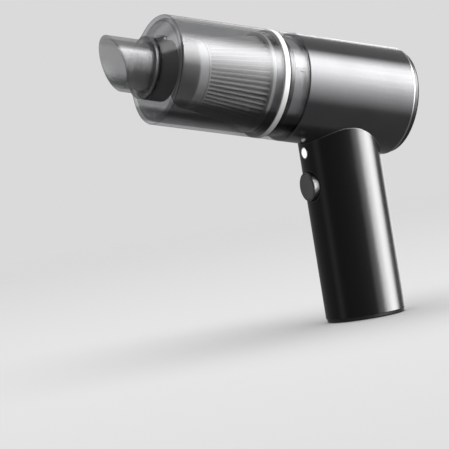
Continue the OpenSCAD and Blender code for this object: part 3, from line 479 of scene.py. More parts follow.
def makeFilterPaper():  # painted shade in the valleys of the pleats and lower down, least along the top
    paper = Finish("filter paper")
    fibres = paper.noise(2600, 5)
    back, front, ridge = span("filter_pleats")
    narrow = (ridge - filterParts["frontRadius"]) / (front - back) / ridge
    local = paper.radius() * (1 / ridge) + (paper.station() - back) * narrow
    valley = filterParts["pleatDepth"] / ridge
    # Painted shade in the valleys of the pleats
    depth = paper.ramp(local, 1 - valley, 1 - 0.15 * valley)
    shadeMottle = (paper.noise(300, 5) - 0.5) * 0.5
    # Painted shade lower down; the top is left lighter, as where light falls
    lowerShade = paper.ramp(paper.below(), filterParts["dustFrom"], 0.3)
    tint = paper.blendColours((1 - depth + shadeMottle) * lowerShade, filterParts["clean"], filterParts["dust"])
    return paper.show(paper.plastic(Base_Color=tint, Roughness=0.85, Normal=paper.bump(fibres, 0.03 * mm)))


def makeFoam():
    foam = Finish("open foam")
    cells = foam.node("ShaderNodeTexVoronoi", {}, {"Vector": foam.coords, "Scale": 1400})
    tint = foam.blendColours(cells, grey(0.01), grey(0.07))
    return foam.show(foam.plastic(Base_Color=tint, Roughness=0.95, Normal=foam.bump(cells, 0.2 * mm)))


def makeBoard():
    board = Finish("circuit board")
    tracks = board.node("ShaderNodeTexBrick", {"offset": 0.5},
                        {"Vector": board.coords, "Color1": grey(0.0), "Color2": grey(0.3),
                         "Mortar": grey(1.0), "Scale": 420, "Mortar Size": 0.035, "Bias": 0.2})
    tint = board.blendColours(tracks, (0.01, 0.11, 0.04, 1), (0.05, 0.28, 0.12, 1))
    return board.show(board.plastic(Base_Color=tint, Roughness=0.35, Normal=board.bump(tracks, 0.03 * mm)))


def makeWindings():
    coil = Finish("iron core and copper windings")
    turns = coil.node("ShaderNodeTexWave", {"bands_direction": "X"},
                      {"Vector": coil.coords, "Scale": 900, "Distortion": 0.6})
    tint = coil.blendColours(turns, (0.35, 0.13, 0.04, 1), (0.75, 0.36, 0.14, 1))
    return coil.show(coil.plastic(Base_Color=tint, Metallic=0.8, Roughness=0.35,
                                  Normal=coil.bump(turns, 0.08 * mm)))


def makeCellWrap():
    wrap = Finish("cell wrap")
    creases = wrap.noise(160, 3, (1, 1, 0.15))
    tint = wrap.blendColours(creases, (0.02, 0.07, 0.2, 1), (0.03, 0.12, 0.32, 1))
    return wrap.show(wrap.plastic(Base_Color=tint, Roughness=0.22, Coat_Weight=0.4,
                                  Normal=wrap.bump(creases, 0.05 * mm)))


lampLook = {"glow": 1.0, "frost": 1800, "frostDepth": 0.01 * mm, "rimLight": 0.35, "spread": 1.6}


def makeLampLens(centre, radius):
    lens = Finish("frosted lens")
    offset = lens.vector("DISTANCE", lens.coords, centre, "Value")
    core = 1 - lens.ramp(offset * (1 / (lampLook["spread"] * radius)), 0.2, 0.95)
    glow = lens.blendColours(core, grey(lampLook["rimLight"]), grey(1.0))
    frost = lens.bump(lens.noise(lampLook["frost"], 3), lampLook["frostDepth"])
    return lens.show(lens.plastic(Base_Color=grey(0.9), Roughness=0.2, Coat_Weight=0.5, Normal=frost,
                                  Emission_Color=glow, Emission_Strength=lampLook["glow"]))


housingPaint = makeHousingPaint()
handleGloss = makeHandleGloss()
clearCup = makeClearPlastic("clear cup plastic", clearLook["cup"], clearLook["shadeBand"], cupCorner)
clearCollar = makeClearPlastic("clear collar plastic", clearLook["collar"], clearLook["shadeBand"], cupCorner)
clearInlet = makeClearPlastic("clear inlet plastic", clearLook["inlet"], clearLook["inletShadeBand"], None,
                              clearLook["inletShare"], clearLook["inletMilk"])
sealRubber = makeSealRubber()
filterPlastic = makeMoulded("light moulded plastic", (0.62, 0.62, 0.615, 1), 0.4, 2200, 0.008, 0.05)
chromeTrim = makeMetal("polished chrome", (0.82, 0.82, 0.83, 1), 0.07, depth=0.0005)
satinTrim = makeMetal("satin trim metal", (0.42, 0.42, 0.425, 1), 0.24, depth=0.0005)
buttonTrim = makeMetal("button trim metal", (0.16, 0.16, 0.163, 1), 0.4, depth=0.0005)
coverPaint = makeMetal("dark cover paint", (0.1, 0.1, 0.102, 1), 0.3, depth=0.002)
buttonSatin = makeMoulded("satin button", (0.085, 0.085, 0.088, 1), 0.38, 3000, 0.006, 0.06)
blackMoulded = makeMoulded("black textured plastic", (0.012, 0.012, 0.0125, 1), 0.45, 2600, 0.02, 0.2)
softBlack = makeMoulded("soft black rubber", grey(0.02), 0.7, 1500, 0.02, 0.2)
ductPlastic = makeMoulded("grey duct plastic", (0.22, 0.22, 0.223, 1), 0.4, 2400, 0.01, 0.06)
innerPlastic = makeMoulded("inner black plastic", (0.03, 0.03, 0.032, 1), 0.5, 2400, 0.02, 0.15)
wireSleeve = makeMoulded("wire sleeve", (0.45, 0.02, 0.02, 1), 0.45, 1200, 0.01, 0.1)
zincSteel = makeMetal("bright zinc steel", (0.6, 0.6, 0.61, 1), 0.28, (1, 1, 0.05))
ferrite = makeMetal("dark ferrite", (0.08, 0.08, 0.085, 1), 0.5)
brassMetal = makeMetal("brass", (0.75, 0.55, 0.24, 1), 0.25)
nickelStrip = makeMetal("nickel strip", (0.66, 0.64, 0.6, 1), 0.3, (0.05, 1, 1))
openFoam = makeFoam()
circuitBoard = makeBoard()
windings = makeWindings()
cellWrap = makeCellWrap()


def finishPiece(piece, material, body, node):
    piece.data.materials.clear()
    piece.data.materials.append(material)
    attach(piece, body)
    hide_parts(node)


print("Modelling the body tube")

bodySteps = 224  # flats round the body tube, its rings and the cup
housing = {"wall": 2.2 * mm, "front": 32.5 * mm, "frontRound": 0.5 * mm, "rearRound": 0.25 * mm,
           "trimWidth": 1.5 * mm, "neckWall": 2 * mm, "neckPlay": 2.3 * mm, "neckRound": 0.3 * mm,
           "neckReach": 8 * mm, "neckTop": 0.6, "windowHalf": 11.1 * mm, "windowEdge": 4 * mm,
           "bossRadius": 3.2 * mm, "bossY": 16 * mm, "holeRadius": 1.27 * mm, "holeDepth": 10 * mm,
           "portRadius": 8 * mm, "portX": 2 * mm, "portHeight": 8 * mm}
handleLow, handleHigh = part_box("handle_tube")
handleRadius = handleHigh.x
trimBack, plugFront = span("rear_trim_ring")[:2]
housingBack = trimBack + housing["trimWidth"]
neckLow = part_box("frame_screws")[1].z - housing["neckReach"]


def makeHousing():
    front, bore = housing["front"], bodyRadius - housing["wall"]
    outline = band(bore, bodyRadius, housingBack, front)
    shell = turned("housingShell", outline, [(housing["frontRound"], [outline[2]]),
                                             (housing["rearRound"], [outline[1]])], bodySteps)
    moveTo(shell, alongNose)
    neckRadius = handleRadius - housing["neckPlay"]
    top = axisPoint.z - housing["neckTop"] * bodyRadius
    neck = turned("neck", band(neckRadius - housing["neckWall"], neckRadius, neckLow, top),
                  [(housing["neckRound"], [(neckRadius, neckLow)])])
    cut(neck, block((-handleRadius, -housing["windowHalf"], neckLow - spare),
                    (-housing["windowEdge"], housing["windowHalf"], top + spare)))
    sides = bothSides(0, housing["bossY"])
    weld(neck, *[drum(housing["bossRadius"], neckLow, top, place, 32) for place in sides])
    low, high = neckLow - spare, neckLow + housing["holeDepth"]
    holes = [drum(housing["holeRadius"], low, high, place, 24) for place in sides]
    cut(neck, *holes, drum(bodyRadius - housing["wall"] / 2, housingBack, front, alongNose))
    cut(shell, drum(housing["portRadius"], neckLow, axisPoint.z - bore + housing["portHeight"],
                    Matrix.Translation((housing["portX"], 0, 0))))
    return gather("housingShell", [smooth(shell), smooth(neck)])


finishPiece(makeHousing(), housingPaint, "housing", "motor_housing")

rear = {"trimEdge": 0.5 * mm, "trimRound": 0.2 * mm, "trimWall": 3.3 * mm, "insertWall": 2.3 * mm,
        "coverStep": 1.5 * mm, "coverRound": 1.2 * mm, "coverEdge": 0.15 * mm, "coverPlay": 0.1 * mm,
        "plugWall": 1.5 * mm, "dishDepth": 0.5 * mm, "dishFloor": 7.2 * mm, "dishRim": 7.65 * mm,
        "slotCount": 24, "slotWidth": 1.6 * mm, "slotInner": 9 * mm, "slotOuter": 21 * mm,
        "screwRadius": 25.5 * mm, "screwCount": 3, "headPlay": 0.3 * mm, "headSink": 0.2 * mm,
        "screw": {"headRadius": 2.6 * mm, "headHeight": 1.4 * mm, "shankRadius": 1.25 * mm,
                  "shankLength": 8 * mm}}
coverBack = span("rear_cover")[0]
trimBore = bodyRadius - rear["trimWall"]
seatDepth = rear["screw"]["headHeight"] + rear["headSink"]


def makeTrimRing():
    insert = bodyRadius - rear["insertWall"]
    edge = rear["trimEdge"]
    corners = [(bodyRadius - edge, trimBack), (bodyRadius, trimBack + edge)]
    outline = [(trimBore, trimBack), *corners, (bodyRadius, housingBack), (insert, housingBack),
               (insert, plugFront), (trimBore, plugFront)]
    return settle(turned("rearTrimRing", outline, [(rear["trimRound"], corners)], bodySteps))


def around(count, radius=0, station=0):  # places spaced evenly round the axis
    return [Matrix.Rotation(2 * math.pi * i / count, 4, "Z") @ Matrix.Translation((radius, 0, station))
            for i in range(count)]


def makeSlotCutter():  # long slots with nearly round ends
    half = rear["slotWidth"] / 2
    slot = block((rear["slotInner"], -half, coverBack - spare), (rear["slotOuter"], half, trimBack + spare))
    activate(slot)
    bpy.ops.object.mode_set(mode="EDIT")
    bpy.ops.mesh.select_mode(type="EDGE")
    bpy.ops.mesh.select_all(action="DESELECT")
    bpy.ops.object.mode_set(mode="OBJECT")
    for edge in slot.data.edges:
        a, b = (slot.data.vertices[i].co for i in edge.vertices)
        edge.select = abs(a.z - b.z) > half
    bpy.ops.object.mode_set(mode="EDIT")
    bpy.ops.mesh.bevel(offset=half * 0.98, segments=4, affect="EDGES")
    bpy.ops.object.mode_set(mode="OBJECT")
    return gather("slots", [slot] + [copyOf(slot, place) for place in around(rear["slotCount"])[1:]])


def makeRearCover():
    face = bodyRadius - rear["coverStep"]
    plug = trimBore - rear["coverPlay"]
    inner = plug - rear["plugWall"]
    dish = coverBack + rear["dishDepth"]
    rim = (face, coverBack)
    outline = [(0, dish), (rear["dishFloor"], dish), (rear["dishRim"], coverBack), rim, (face, trimBack),
               (plug, trimBack), (plug, plugFront), (inner, plugFront), (inner, trimBack), (0, trimBack)]
    cover = turned("rearCover", outline, [(rear["coverRound"], [rim])], 192)
    head = rear["screw"]["headRadius"] + rear["headPlay"]
    recesses = [drum(head, -spare, seatDepth, place, 48)
                for place in around(rear["screwCount"], rear["screwRadius"], coverBack)]
    cut(cover, makeSlotCutter(), *recesses)
    soften(cover, rear["coverEdge"])
    return settle(cover)


# Shares of the head's radius and height, then of the shank's radius and length
screwShape = {"rim": 0.55, "crown": 0.45, "round": 0.25, "arm": 0.58, "armHalf": 0.12, "crossFloor": 0.45,
              "tip": 0.6, "tipStart": 0.92}


# A pan-head screw with a cross recess, its seat at the origin and its shank up +Z
def makeScrew(headRadius, headHeight, shankRadius, shankLength):
    rim = (headRadius, -screwShape["rim"] * headHeight)
    outline = [(0, shankLength), (shankRadius * screwShape["tip"], shankLength),
               (shankRadius, shankLength * screwShape["tipStart"]), (shankRadius, 0), (headRadius, 0), rim,
               (screwShape["crown"] * headRadius, -headHeight), (0, -headHeight)]
    screw = turned("screw", outline, [(screwShape["round"] * headRadius, [rim])], 40)
    arm, half = headRadius * screwShape["arm"], headRadius * screwShape["armHalf"]
    for x, y in ((arm, half), (half, arm)):
        cut(screw, block((-x, -y, -2 * headHeight), (x, y, -screwShape["crossFloor"] * headHeight)))
    return smooth(screw, 40)


def makeScrews(name, places, sizes):
    first = makeScrew(**sizes)
    others = [copyOf(first, place) for place in places[1:]]
    moveTo(first, places[0])
    return gather(name, [first] + others)


finishPiece(makeTrimRing(), satinTrim, "housing", "rear_trim_ring")
finishPiece(makeRearCover(), coverPaint, "housing", "rear_cover")
rearPlaces = around(rear["screwCount"], rear["screwRadius"], coverBack + seatDepth)
finishPiece(makeScrews("rearScrews", [alongNose @ place for place in rearPlaces], rear["screw"]), zincSteel,
            "housing", "rear_screws")

print("Modelling the clear collar and the seal ring")

collar = {"wall": 2 * mm, "web": 2 * mm, "edgeRound": 0.3 * mm, "spigotRadius": 30.7 * mm,
          "spigotBore": 28.5 * mm, "lugCount": 3, "lugAngle": 24, "lugTurn": -62, "lugLength": 3 * mm,
          "lugBore": 29.5 * mm, "lugFront": 37.7 * mm, "lugSink": 0.5 * mm, "sealRound": 0.6 * mm}
collarBack, spigotFront = span("lock_collar")[:2]
sealBack, sealFront = span("seal_ring")[:2]


def makeCollar():
    bore, web = bodyRadius - collar["wall"], sealBack - collar["web"]
    spigot, inner = collar["spigotRadius"], collar["spigotBore"]
    outline = [(bore, collarBack), (bodyRadius, collarBack), (bodyRadius, sealBack), (spigot, sealBack),
               (spigot, spigotFront), (inner, spigotFront), (inner, web), (bore, web)]
    edges = [outline[i] for i in (1, 2, 4, 5)]
    ring = turned("lockCollar", outline, [(collar["edgeRound"], edges)], 180)
    front = collar["lugFront"]
    lug = band(collar["lugBore"], bore + collar["lugSink"], front - collar["lugLength"], front)
    for i in range(collar["lugCount"]):
        start = collar["lugTurn"] + i * 360 / collar["lugCount"] - collar["lugAngle"] / 2
        weld(ring, turned("lug", lug, steps=12, arc=collar["lugAngle"], start=start))
    return settle(ring)


def makeSealRing():
    outline = band(collar["spigotRadius"], bodyRadius, sealBack, sealFront)
    return settle(turned("sealRing", outline, [(collar["sealRound"], outline[1:3])], bodySteps))


finishPiece(makeCollar(), clearCollar, "collar", "lock_collar")
finishPiece(makeSealRing(), sealRubber, "collar", "seal_ring")

print("Modelling the clear dust cup and its inlet")

cup = {"wall": 2 * mm, "coneLength": 8.1 * mm, "faceRadius": 20.8 * mm, "innerFace": 19.8 * mm,
       "innerRim": 1.2 * mm, "bossHeight": 3.6 * mm, "rimRound": 0.9 * mm, "edgeRound": 0.3 * mm,
       "inletHole": 16.02 * mm, "earNear": 5.3 * mm, "earFar": 7.3 * mm, "earBack": 1.6 * mm,
       "earOut": 1.8 * mm, "earSink": 0.5 * mm}
inlet = {"radius": 16 * mm, "bore": 14 * mm, "throat": 12.5 * mm, "flangeRadius": 18.8 * mm,
         "flangeWidth": 2.3 * mm, "slant": 24, "length": 20.9 * mm, "edgeRound": 0.35 * mm,
         "mouthRound": 0.3 * mm, "knife": 60 * mm, "sleeveWall": 0.8 * mm, "sleeveRound": 0.25 * mm,
         "sleeveNotch": 7.6 * mm}
flap = {"hingeOut": 17.7 * mm, "hingeBack": 0.9 * mm, "radius": 15.2 * mm, "thickness": 1.2 * mm,
        "edgeRound": 0.3 * mm, "tongueInner": 12 * mm, "tongueHalf": 4.9 * mm, "knuckle": 1.48 * mm,
        "knuckleHalf": 5 * mm, "pinHole": 0.85 * mm, "pinRadius": 0.8 * mm, "pinHalf": 7.6 * mm,
        "pinRound": 0.3 * mm,
        "lip": [(11 * mm, 0), (11.4 * mm, 0.35 * mm), (12.4 * mm, 0.35 * mm), (12.8 * mm, 0)]}
cupBack, cupFace = span("dust_cup")[:2]
inletBack = span("inlet_tube")[0]
flapHinge = Vector((flap["hingeOut"], 0, inletBack - flap["hingeBack"]))
hingePlace = Matrix.Translation(flapHinge) @ Matrix.Rotation(math.pi / 2, 4, "X")


def makeDustCup():
    bore, rim = bodyRadius - cup["wall"], cupFace - cup["coneLength"]
    hole, boss = cup["inletHole"], cup["inletHole"] + cup["wall"]
    inside = cupFace - cup["wall"]
    bossBack = inside - cup["bossHeight"]
    outline = [(bore, cupBack), (bodyRadius, cupBack), (bodyRadius, rim), (cup["faceRadius"], cupFace),
               (hole, cupFace), (hole, bossBack), (boss, bossBack), (boss, inside),
               (cup["innerFace"], inside), (bore, rim - cup["innerRim"])]
    rounds = [(cup["rimRound"], [outline[2], outline[9]]), (cup["edgeRound"], [*outline[:2], outline[3]])]
    shell = turned("dustCup", outline, rounds, bodySteps)
    for side in (-1, 1):
        near, far = sorted((side * cup["earNear"], side * cup["earFar"]))
        weld(shell, block((flapHinge.x - cup["earBack"], near, flapHinge.z - cup["earBack"]),
                          (flapHinge.x + cup["earOut"], far, inside + cup["earSink"])))
    return settle(shell)


def makeInletTube():
    outer, bore, throat, flange = (inlet[key] for key in ("radius", "bore", "throat", "flangeRadius"))
    reach = cupFace + inlet["length"]
    slant = math.radians(inlet["slant"])
    end = reach + outer * math.tan(slant) + spare
    flangeFront = cupFace + inlet["flangeWidth"]
    outline = [(throat, inletBack), (outer, inletBack), (outer, cupFace), (flange, cupFace),
               (flange, flangeFront), (outer, flangeFront), (outer, end), (bore, end), (bore, cupFace),
               (throat, cupFace)]
    tube = turned("inletTube", outline, [(inlet["edgeRound"], outline[3:5])], 180)
    size = inlet["knife"]
    cut(tube, block((-size, -size, 0), (size, size, size),
                    Matrix.Translation((0, 0, reach)) @ Matrix.Rotation(-slant, 4, "Y")))
    soften(tube, inlet["mouthRound"], 3)
    return settle(tube)


def makeInletSleeve():  # open over the flap's hinge
    back, front, outer = span("inlet_sleeve")
    bore = outer - inlet["sleeveWall"]
    rim = [(outer, back), (bore, back)]
    outline = [(bore, front), (outer, front), *rim]
    sleeve = turned("inletSleeve", outline, [(inlet["sleeveRound"], rim)], 160)
    notch = inlet["sleeveNotch"]
    cut(sleeve, block((0, -notch, back - spare), (bodyRadius, notch, front + spare)))
    return settle(sleeve)


def makeFlapPin():
    radius, half = flap["pinRadius"], flap["pinHalf"]
    ends = [(radius, -half), (radius, half)]
    pin = turned("flapPin", [(0, -half), *ends, (0, half)], [(flap["pinRound"], ends)], 32)
    return settle(pin, alongNose @ hingePlace)


def makeFlap():
    low, high = (flapHinge.z + side * flap["thickness"] / 2 for side in (-1, 1))
    edge = [(flap["radius"], low), (flap["radius"], high)]
    lip = [(radius, low - drop) for radius, drop in flap["lip"]]
    disc = turned("inletFlap", [(0, low), *lip, *edge, (0, high)], [(flap["edgeRound"], edge)], 96)
    width, half = flap["tongueHalf"], flap["knuckleHalf"]
    tongue = block((flap["tongueInner"], -width, low + hair), (flapHinge.x, width, high - hair))
    weld(disc, tongue, drum(flap["knuckle"], -half, half, hingePlace, 40))
    cut(disc, drum(flap["pinHole"], -half - spare, half + spare, hingePlace, 32))
    return settle(disc)


finishPiece(makeDustCup(), clearCup, "cup", "dust_cup")
finishPiece(makeInletTube(), clearInlet, "cup", "inlet_tube")
finishPiece(makeInletSleeve(), softBlack, "cup", "inlet_sleeve")
finishPiece(makeFlapPin(), zincSteel, "cup", "flap_pin")
finishPiece(makeFlap(), softBlack, "flap", "inlet_flap")

print("Modelling the filter")

# The second paper colour, from the given height down, is painted shade
filterParts = {"clean": (0.62, 0.62, 0.612, 1), "dust": (0.25, 0.247, 0.24, 1), "dustFrom": -0.5,
               "wall": 1.8 * mm, "pleatCount": 52, "pleatDepth": 3.6 * mm, "foldRound": 0.45 * mm,
               "paper": 0.5 * mm, "rearRadius": 28.4 * mm, "frontRadius": 21.5 * mm,
               "capRadius": 20.65 * mm, "capRound": 1 * mm, "capDish": 0.4 * mm, "dishRim": 2.2 * mm,
               "lip": 0.8 * mm, "lipInset": 0.5 * mm, "lipTop": 1.2 * mm, "basePlay": 0.3 * mm,
               "baseRound": 0.4 * mm, "flangePlay": 0.9 * mm, "pleatSeat": 1.9 * mm}
pleatBack, pleatFront = span("filter_pleats")[:2]
filterFront = span("filter_cap")[1]
baseBack = span("filter_base")[0]


def makePleats():
    clearSelection()
    count = 2 * filterParts["pleatCount"]
    outer = filterParts["rearRadius"] - filterParts["paper"] / 2
    bpy.ops.mesh.primitive_circle_add(vertices=count, radius=outer, location=(0, 0, 0))
    pleats = bpy.context.object
    pleats.name = "filterPleats"
    folds = {tuple(vertex.co) for vertex in pleats.data.vertices if vertex.index % 2}
    selectPoints(pleats, lambda co: tuple(co) in folds)
    deep = (outer - filterParts["pleatDepth"]) / outer
    bpy.ops.transform.resize(value=(deep, deep, 1), center_override=(0, 0, 0))
    selectWhole()
    bpy.ops.mesh.bevel(offset=filterParts["foldRound"], segments=3, affect="VERTICES")
    selectWhole()
    bpy.ops.transform.translate(value=(0, 0, pleatBack))
    bpy.ops.mesh.extrude_region_move(TRANSFORM_OT_translate={"value": (0, 0, pleatFront - pleatBack)})
    taper = filterParts["frontRadius"] / filterParts["rearRadius"]
    bpy.ops.transform.resize(value=(taper, taper, 1), center_override=(0, 0, pleatFront))
    turnFacesOut()
    applyModifier(pleats, "SOLIDIFY", thickness=filterParts["paper"], offset=0)
    moveTo(pleats, alongNose)
    return smooth(pleats, 40)


def makeFilterCap():
    wall, side, face = filterParts["wall"], filterParts["frontRadius"], filterParts["capRadius"]
    inside, dish = filterFront - wall, filterFront - filterParts["capDish"]
    corner, rim = (face, filterFront), face - filterParts["dishRim"]
    outline = [(0, inside), (face - 2 * wall, inside), (side - 2 * wall, pleatFront), (side, pleatFront),
               (side, pleatFront + filterParts["lip"]),
               (side - filterParts["lipInset"], pleatFront + filterParts["lipTop"]), corner,
               (rim, filterFront), (rim - filterParts["capDish"], dish), (0, dish)]
    return settle(turned("filterCap", outline, [(filterParts["capRound"], [corner])]))


def makeFilterBase():
    baseRadius = collar["spigotBore"] - filterParts["basePlay"]
    inner = baseRadius - filterParts["wall"]
    flange = bodyRadius - cup["wall"] - filterParts["flangePlay"]
    bore = (filterParts["rearRadius"] - filterParts["pleatDepth"] - filterParts["pleatSeat"]
            - filterParts["wall"])
    outline = [(inner, baseBack), (baseRadius, baseBack), (baseRadius, spigotFront), (flange, spigotFront),
               (flange, pleatBack), (bore, pleatBack), (bore, spigotFront), (inner, spigotFront)]
    edges = [outline[1], *outline[3:5]]
    return settle(turned("filterBase", outline, [(filterParts["baseRound"], edges)], 160))


finishPiece(makePleats(), makeFilterPaper(), "filter", "filter_pleats")
finishPiece(makeFilterCap(), filterPlastic, "filter", "filter_cap")
finishPiece(makeFilterBase(), filterPlastic, "filter", "filter_base")

print("Modelling the handle")

handle = {"wall": 2.2 * mm, "lowRound": 0.25 * mm, "lowBand": 8 * mm, "saddleRound": 0.5 * mm,
          "cutFrom": 5 * mm, "cutTo": 40 * mm, "capInset": 0.6 * mm, "capRound": 0.35 * mm,
          "capFloor": 2.2 * mm, "ringPlay": 0.1 * mm, "ringWall": 1.75 * mm, "screwX": 13 * mm,
          "headHole": 2.9 * mm, "headDepth": 1.6 * mm, "padPlay": 0.1 * mm, "padRound": 0.25 * mm,
          "grooveCount": 3, "grooveStart": 0.4, "groovePitch": 0.18, "grooveDepth": 0.3 * mm,
          "grooveWidth": 1 * mm, "grooveSide": 0.2 * mm,
          "screw": {"headRadius": 2.6 * mm, "headHeight": 1.4 * mm, "shankRadius": 1.25 * mm,
                    "shankLength": 2.7 * mm}}
socket = {"slotPlay": 0.2 * mm, "wall": 0.35 * mm, "floor": 1 * mm, "tongueHalf": 0.35 * mm,
          "tongueBack": 0.5 * mm, "tongueSink": 1.5 * mm, "tongueEnd": 1.3 * mm}
capLow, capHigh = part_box("handle_end_cap")
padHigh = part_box("foot_pad")[1]
capSeat = padHigh.z + handle["headDepth"]
socketLow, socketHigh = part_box("usb_socket")


def frontPlace(node):  # facing out of the handle's front, at a node's height
    low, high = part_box(node)
    return placeAlong(Vector((-1, 0, 0)), Vector((0, 0, (low.z + high.z) / 2)))


def frontSize(node):  # radius, back and front of a round node there
    low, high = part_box(node)
    return (high.z - low.z) / 2, -high.x, -low.x


buttonPlace = frontPlace("power_button")
lampPlace = frontPlace("led_lens")


def saddleHeight(x, y):  # underside of the body tube over a point of the handle
    return axisPoint.z - (math.sqrt(bodyRadius ** 2 - y ** 2) + x * math.sin(noseLift)) / math.cos(noseLift)


def makeHandle():
    outer, bore, low = handleRadius, handleRadius - handle["wall"], handleLow.z
    top = 1.0  # the rim is moved down onto the body below
    edge = handle["saddleRound"]
    outline = [(bore, low), (outer, low), (outer, low + handle["lowBand"]), (outer, top - edge),
               (outer, top), (bore, top)]
    rounds = [(handle["lowRound"], [outline[1]]), (edge, [outline[4]])]
    tube = turned("handleTube", outline, rounds, 256)
    for vertex in tube.data.vertices:
        if vertex.co.z > top - 2 * edge:
            vertex.co.z += saddleHeight(vertex.co.x, vertex.co.y) - top
    near, far = handle["cutFrom"], handle["cutTo"]
    cut(tube, drum(frontSize("button_bezel")[0] + hair, near, far, buttonPlace, 128),
        drum(frontSize("led_bezel")[0] + hair, near, far, lampPlace, 96),
        makeSocketSlot(socket["slotPlay"], near, far))
    return smooth(tube, 30)


def makeSocketSlot(gap, near, far):  # an upright slot with round ends at the back of the handle
    half = (socketHigh.y - socketLow.y) / 2 + gap
    clearSelection()
    bpy.ops.mesh.primitive_circle_add(vertices=32, radius=half, fill_type="NGON", location=(0, 0, 0))
    slot = bpy.context.object
    moveTo(slot, placeAlong(Vector((1, 0, 0)), Vector((near, 0, 0))))
    selectPoints(slot, lambda co: co.z > fine)
    bpy.ops.transform.translate(value=(0, 0, socketHigh.z + gap - half))
    selectPoints(slot, lambda co: co.z < fine)
    bpy.ops.transform.translate(value=(0, 0, socketLow.z - gap + half))
    selectWhole()
    bpy.ops.mesh.extrude_region_move(TRANSFORM_OT_translate={"value": (far - near, 0, 0)})
    turnFacesOut()
    return slot


def makeEndCap():
    rim = handleRadius - handle["capInset"]
    padRadius = padHigh.x + handle["padPlay"]
    ringRadius = handleRadius - handle["wall"] - handle["ringPlay"]
    ringBore = ringRadius - handle["ringWall"]
    low, step, floor = capLow.z, handleLow.z, padHigh.z + handle["capFloor"]
    corner = (rim, low)
    outline = [(0, padHigh.z), (padRadius, padHigh.z), (padRadius, low), corner, (rim, step),
               (ringRadius, step), (ringRadius, capHigh.z), (ringBore, capHigh.z), (ringBore, floor),
               (0, floor)]
    cap = turned("handleEndCap", outline, [(handle["capRound"], [corner])], 200)
    cut(cap, *[drum(handle["headHole"], 0, capSeat, place, 40) for place in bothSides(handle["screwX"], 0)])
    return smooth(cap)


def makeFootPad():
    radius, top = padHigh.x, padHigh.z
    side, width, depth = handle["grooveSide"], handle["grooveWidth"], handle["grooveDepth"]
    outline = [(0, 0)]
    for i in range(handle["grooveCount"]):
        at = radius * (handle["grooveStart"] + handle["groovePitch"] * i)
        outline += [(at, 0), (at + side, depth), (at + width - side, depth), (at + width, 0)]
    outline += [(radius, 0), (radius, top), (0, top)]
    return smooth(turned("footPad", outline, [(handle["padRound"], [(radius, 0)])], 120))


finishPiece(makeHandle(), handleGloss, "housing", "handle_tube")
finishPiece(makeEndCap(), blackMoulded, "housing", "handle_end_cap")
finishPiece(makeFootPad(), softBlack, "housing", "foot_pad")
finishPiece(makeScrews("capScrews", bothSides(handle["screwX"], 0, capSeat), handle["screw"]), zincSteel,
            "housing", "cap_screws")

print("Modelling the button, the lamp and the charging socket")

button = {"faceRound": 0.5 * mm, "dish": 0.25 * mm, "dishRim": 1.2 * mm, "ring": 1 * mm,
          "ringDrop": 0.3 * mm, "ringRound": 0.35 * mm, "bezelGap": 0.3 * mm, "bezelOut": 1 * mm,
          "bezelEdge": 0.12 * mm, "cutterTop": 200 * mm}
lamp = {"dome": 0.45 * mm, "domeShape": [(1, 1), (0.86, 0.45), (0.6, 0.16), (0.3, 0.03), (0, 0)],
        "bezelRound": 0.15 * mm}
buttonRadius, ringBack = frontSize("button_ring")[:2]
buttonFace = frontSize("power_button")[2]


def makeButton():
    flange, back, _ = frontSize("power_button")
    core = buttonRadius - button["ring"]
    corner = (core, buttonFace)
    outline = [(0, back), (flange, back), (flange, ringBack), (core, ringBack), corner,
               (core - button["dishRim"], buttonFace), (core * 0.5, buttonFace - 0.8 * button["dish"]),
               (0, buttonFace - button["dish"])]
    face = turned("powerButton", outline, [(button["faceRound"], [corner])], 128)
    return settle(face, buttonPlace)


def makeButtonRing():
    bore = buttonRadius - button["ring"] + hair
    outline = band(bore, buttonRadius, ringBack, buttonFace - button["ringDrop"])
    ring = turned("buttonRing", outline, [(button["ringRound"], [outline[2]])], 128)
    return settle(ring, buttonPlace)


def makeButtonBezel():  # its face follows the handle's round
    radius, back, _ = frontSize("button_bezel")
    outline = band(buttonRadius + button["bezelGap"], radius, back, handleRadius + button["bezelOut"])
    bezel = turned("buttonBezel", outline, steps=128)
    moveTo(bezel, buttonPlace)
    cut(bezel, turned("outside", band(handleRadius, 2 * handleRadius, 0, button["cutterTop"]), steps=256))
    soften(bezel, button["bezelEdge"])
    return smooth(bezel)


def makeLens():
    radius, back, front = frontSize("led_lens")
    dome = [(radius * share, front - lamp["dome"] * drop) for share, drop in lamp["domeShape"]]
    lens = turned("lampLens", [(0, back), (radius, back), *dome], steps=96)
    return settle(lens, lampPlace)


def makeLampBezel():
    outline = band(frontSize("led_lens")[0] + hair, *frontSize("led_bezel"))
    return settle(turned("lampBezel", outline, [(lamp["bezelRound"], outline[2:])], 96), lampPlace)


def makeSocket():
    near, far = socketLow.x, socketHigh.x
    shell = makeSocketSlot(0, near, far)
    cut(shell, makeSocketSlot(-socket["wall"], near + socket["floor"], far + spare))
    half, end = socket["tongueHalf"], socket["tongueEnd"]
    tongue = block((near + socket["tongueBack"], -half, socketLow.z + end),
                   (far - socket["tongueSink"], half, socketHigh.z - end))
    return smooth(gather("chargingSocket", [shell, tongue]))


finishPiece(makeButton(), buttonSatin, "button", "power_button")
finishPiece(makeButtonRing(), buttonTrim, "button", "button_ring")
finishPiece(makeButtonBezel(), blackMoulded, "housing", "button_bezel")
lensRadius, _, lensFront = frontSize("led_lens")
lampLens = makeLampLens(lampPlace @ Vector((0, 0, lensFront)), lensRadius)
finishPiece(makeLens(), lampLens, "housing", "led_lens")
finishPiece(makeLampBezel(), chromeTrim, "housing", "led_bezel")
finishPiece(makeSocket(), zincSteel, "housing", "usb_socket")

print("Finishing the inner pieces")

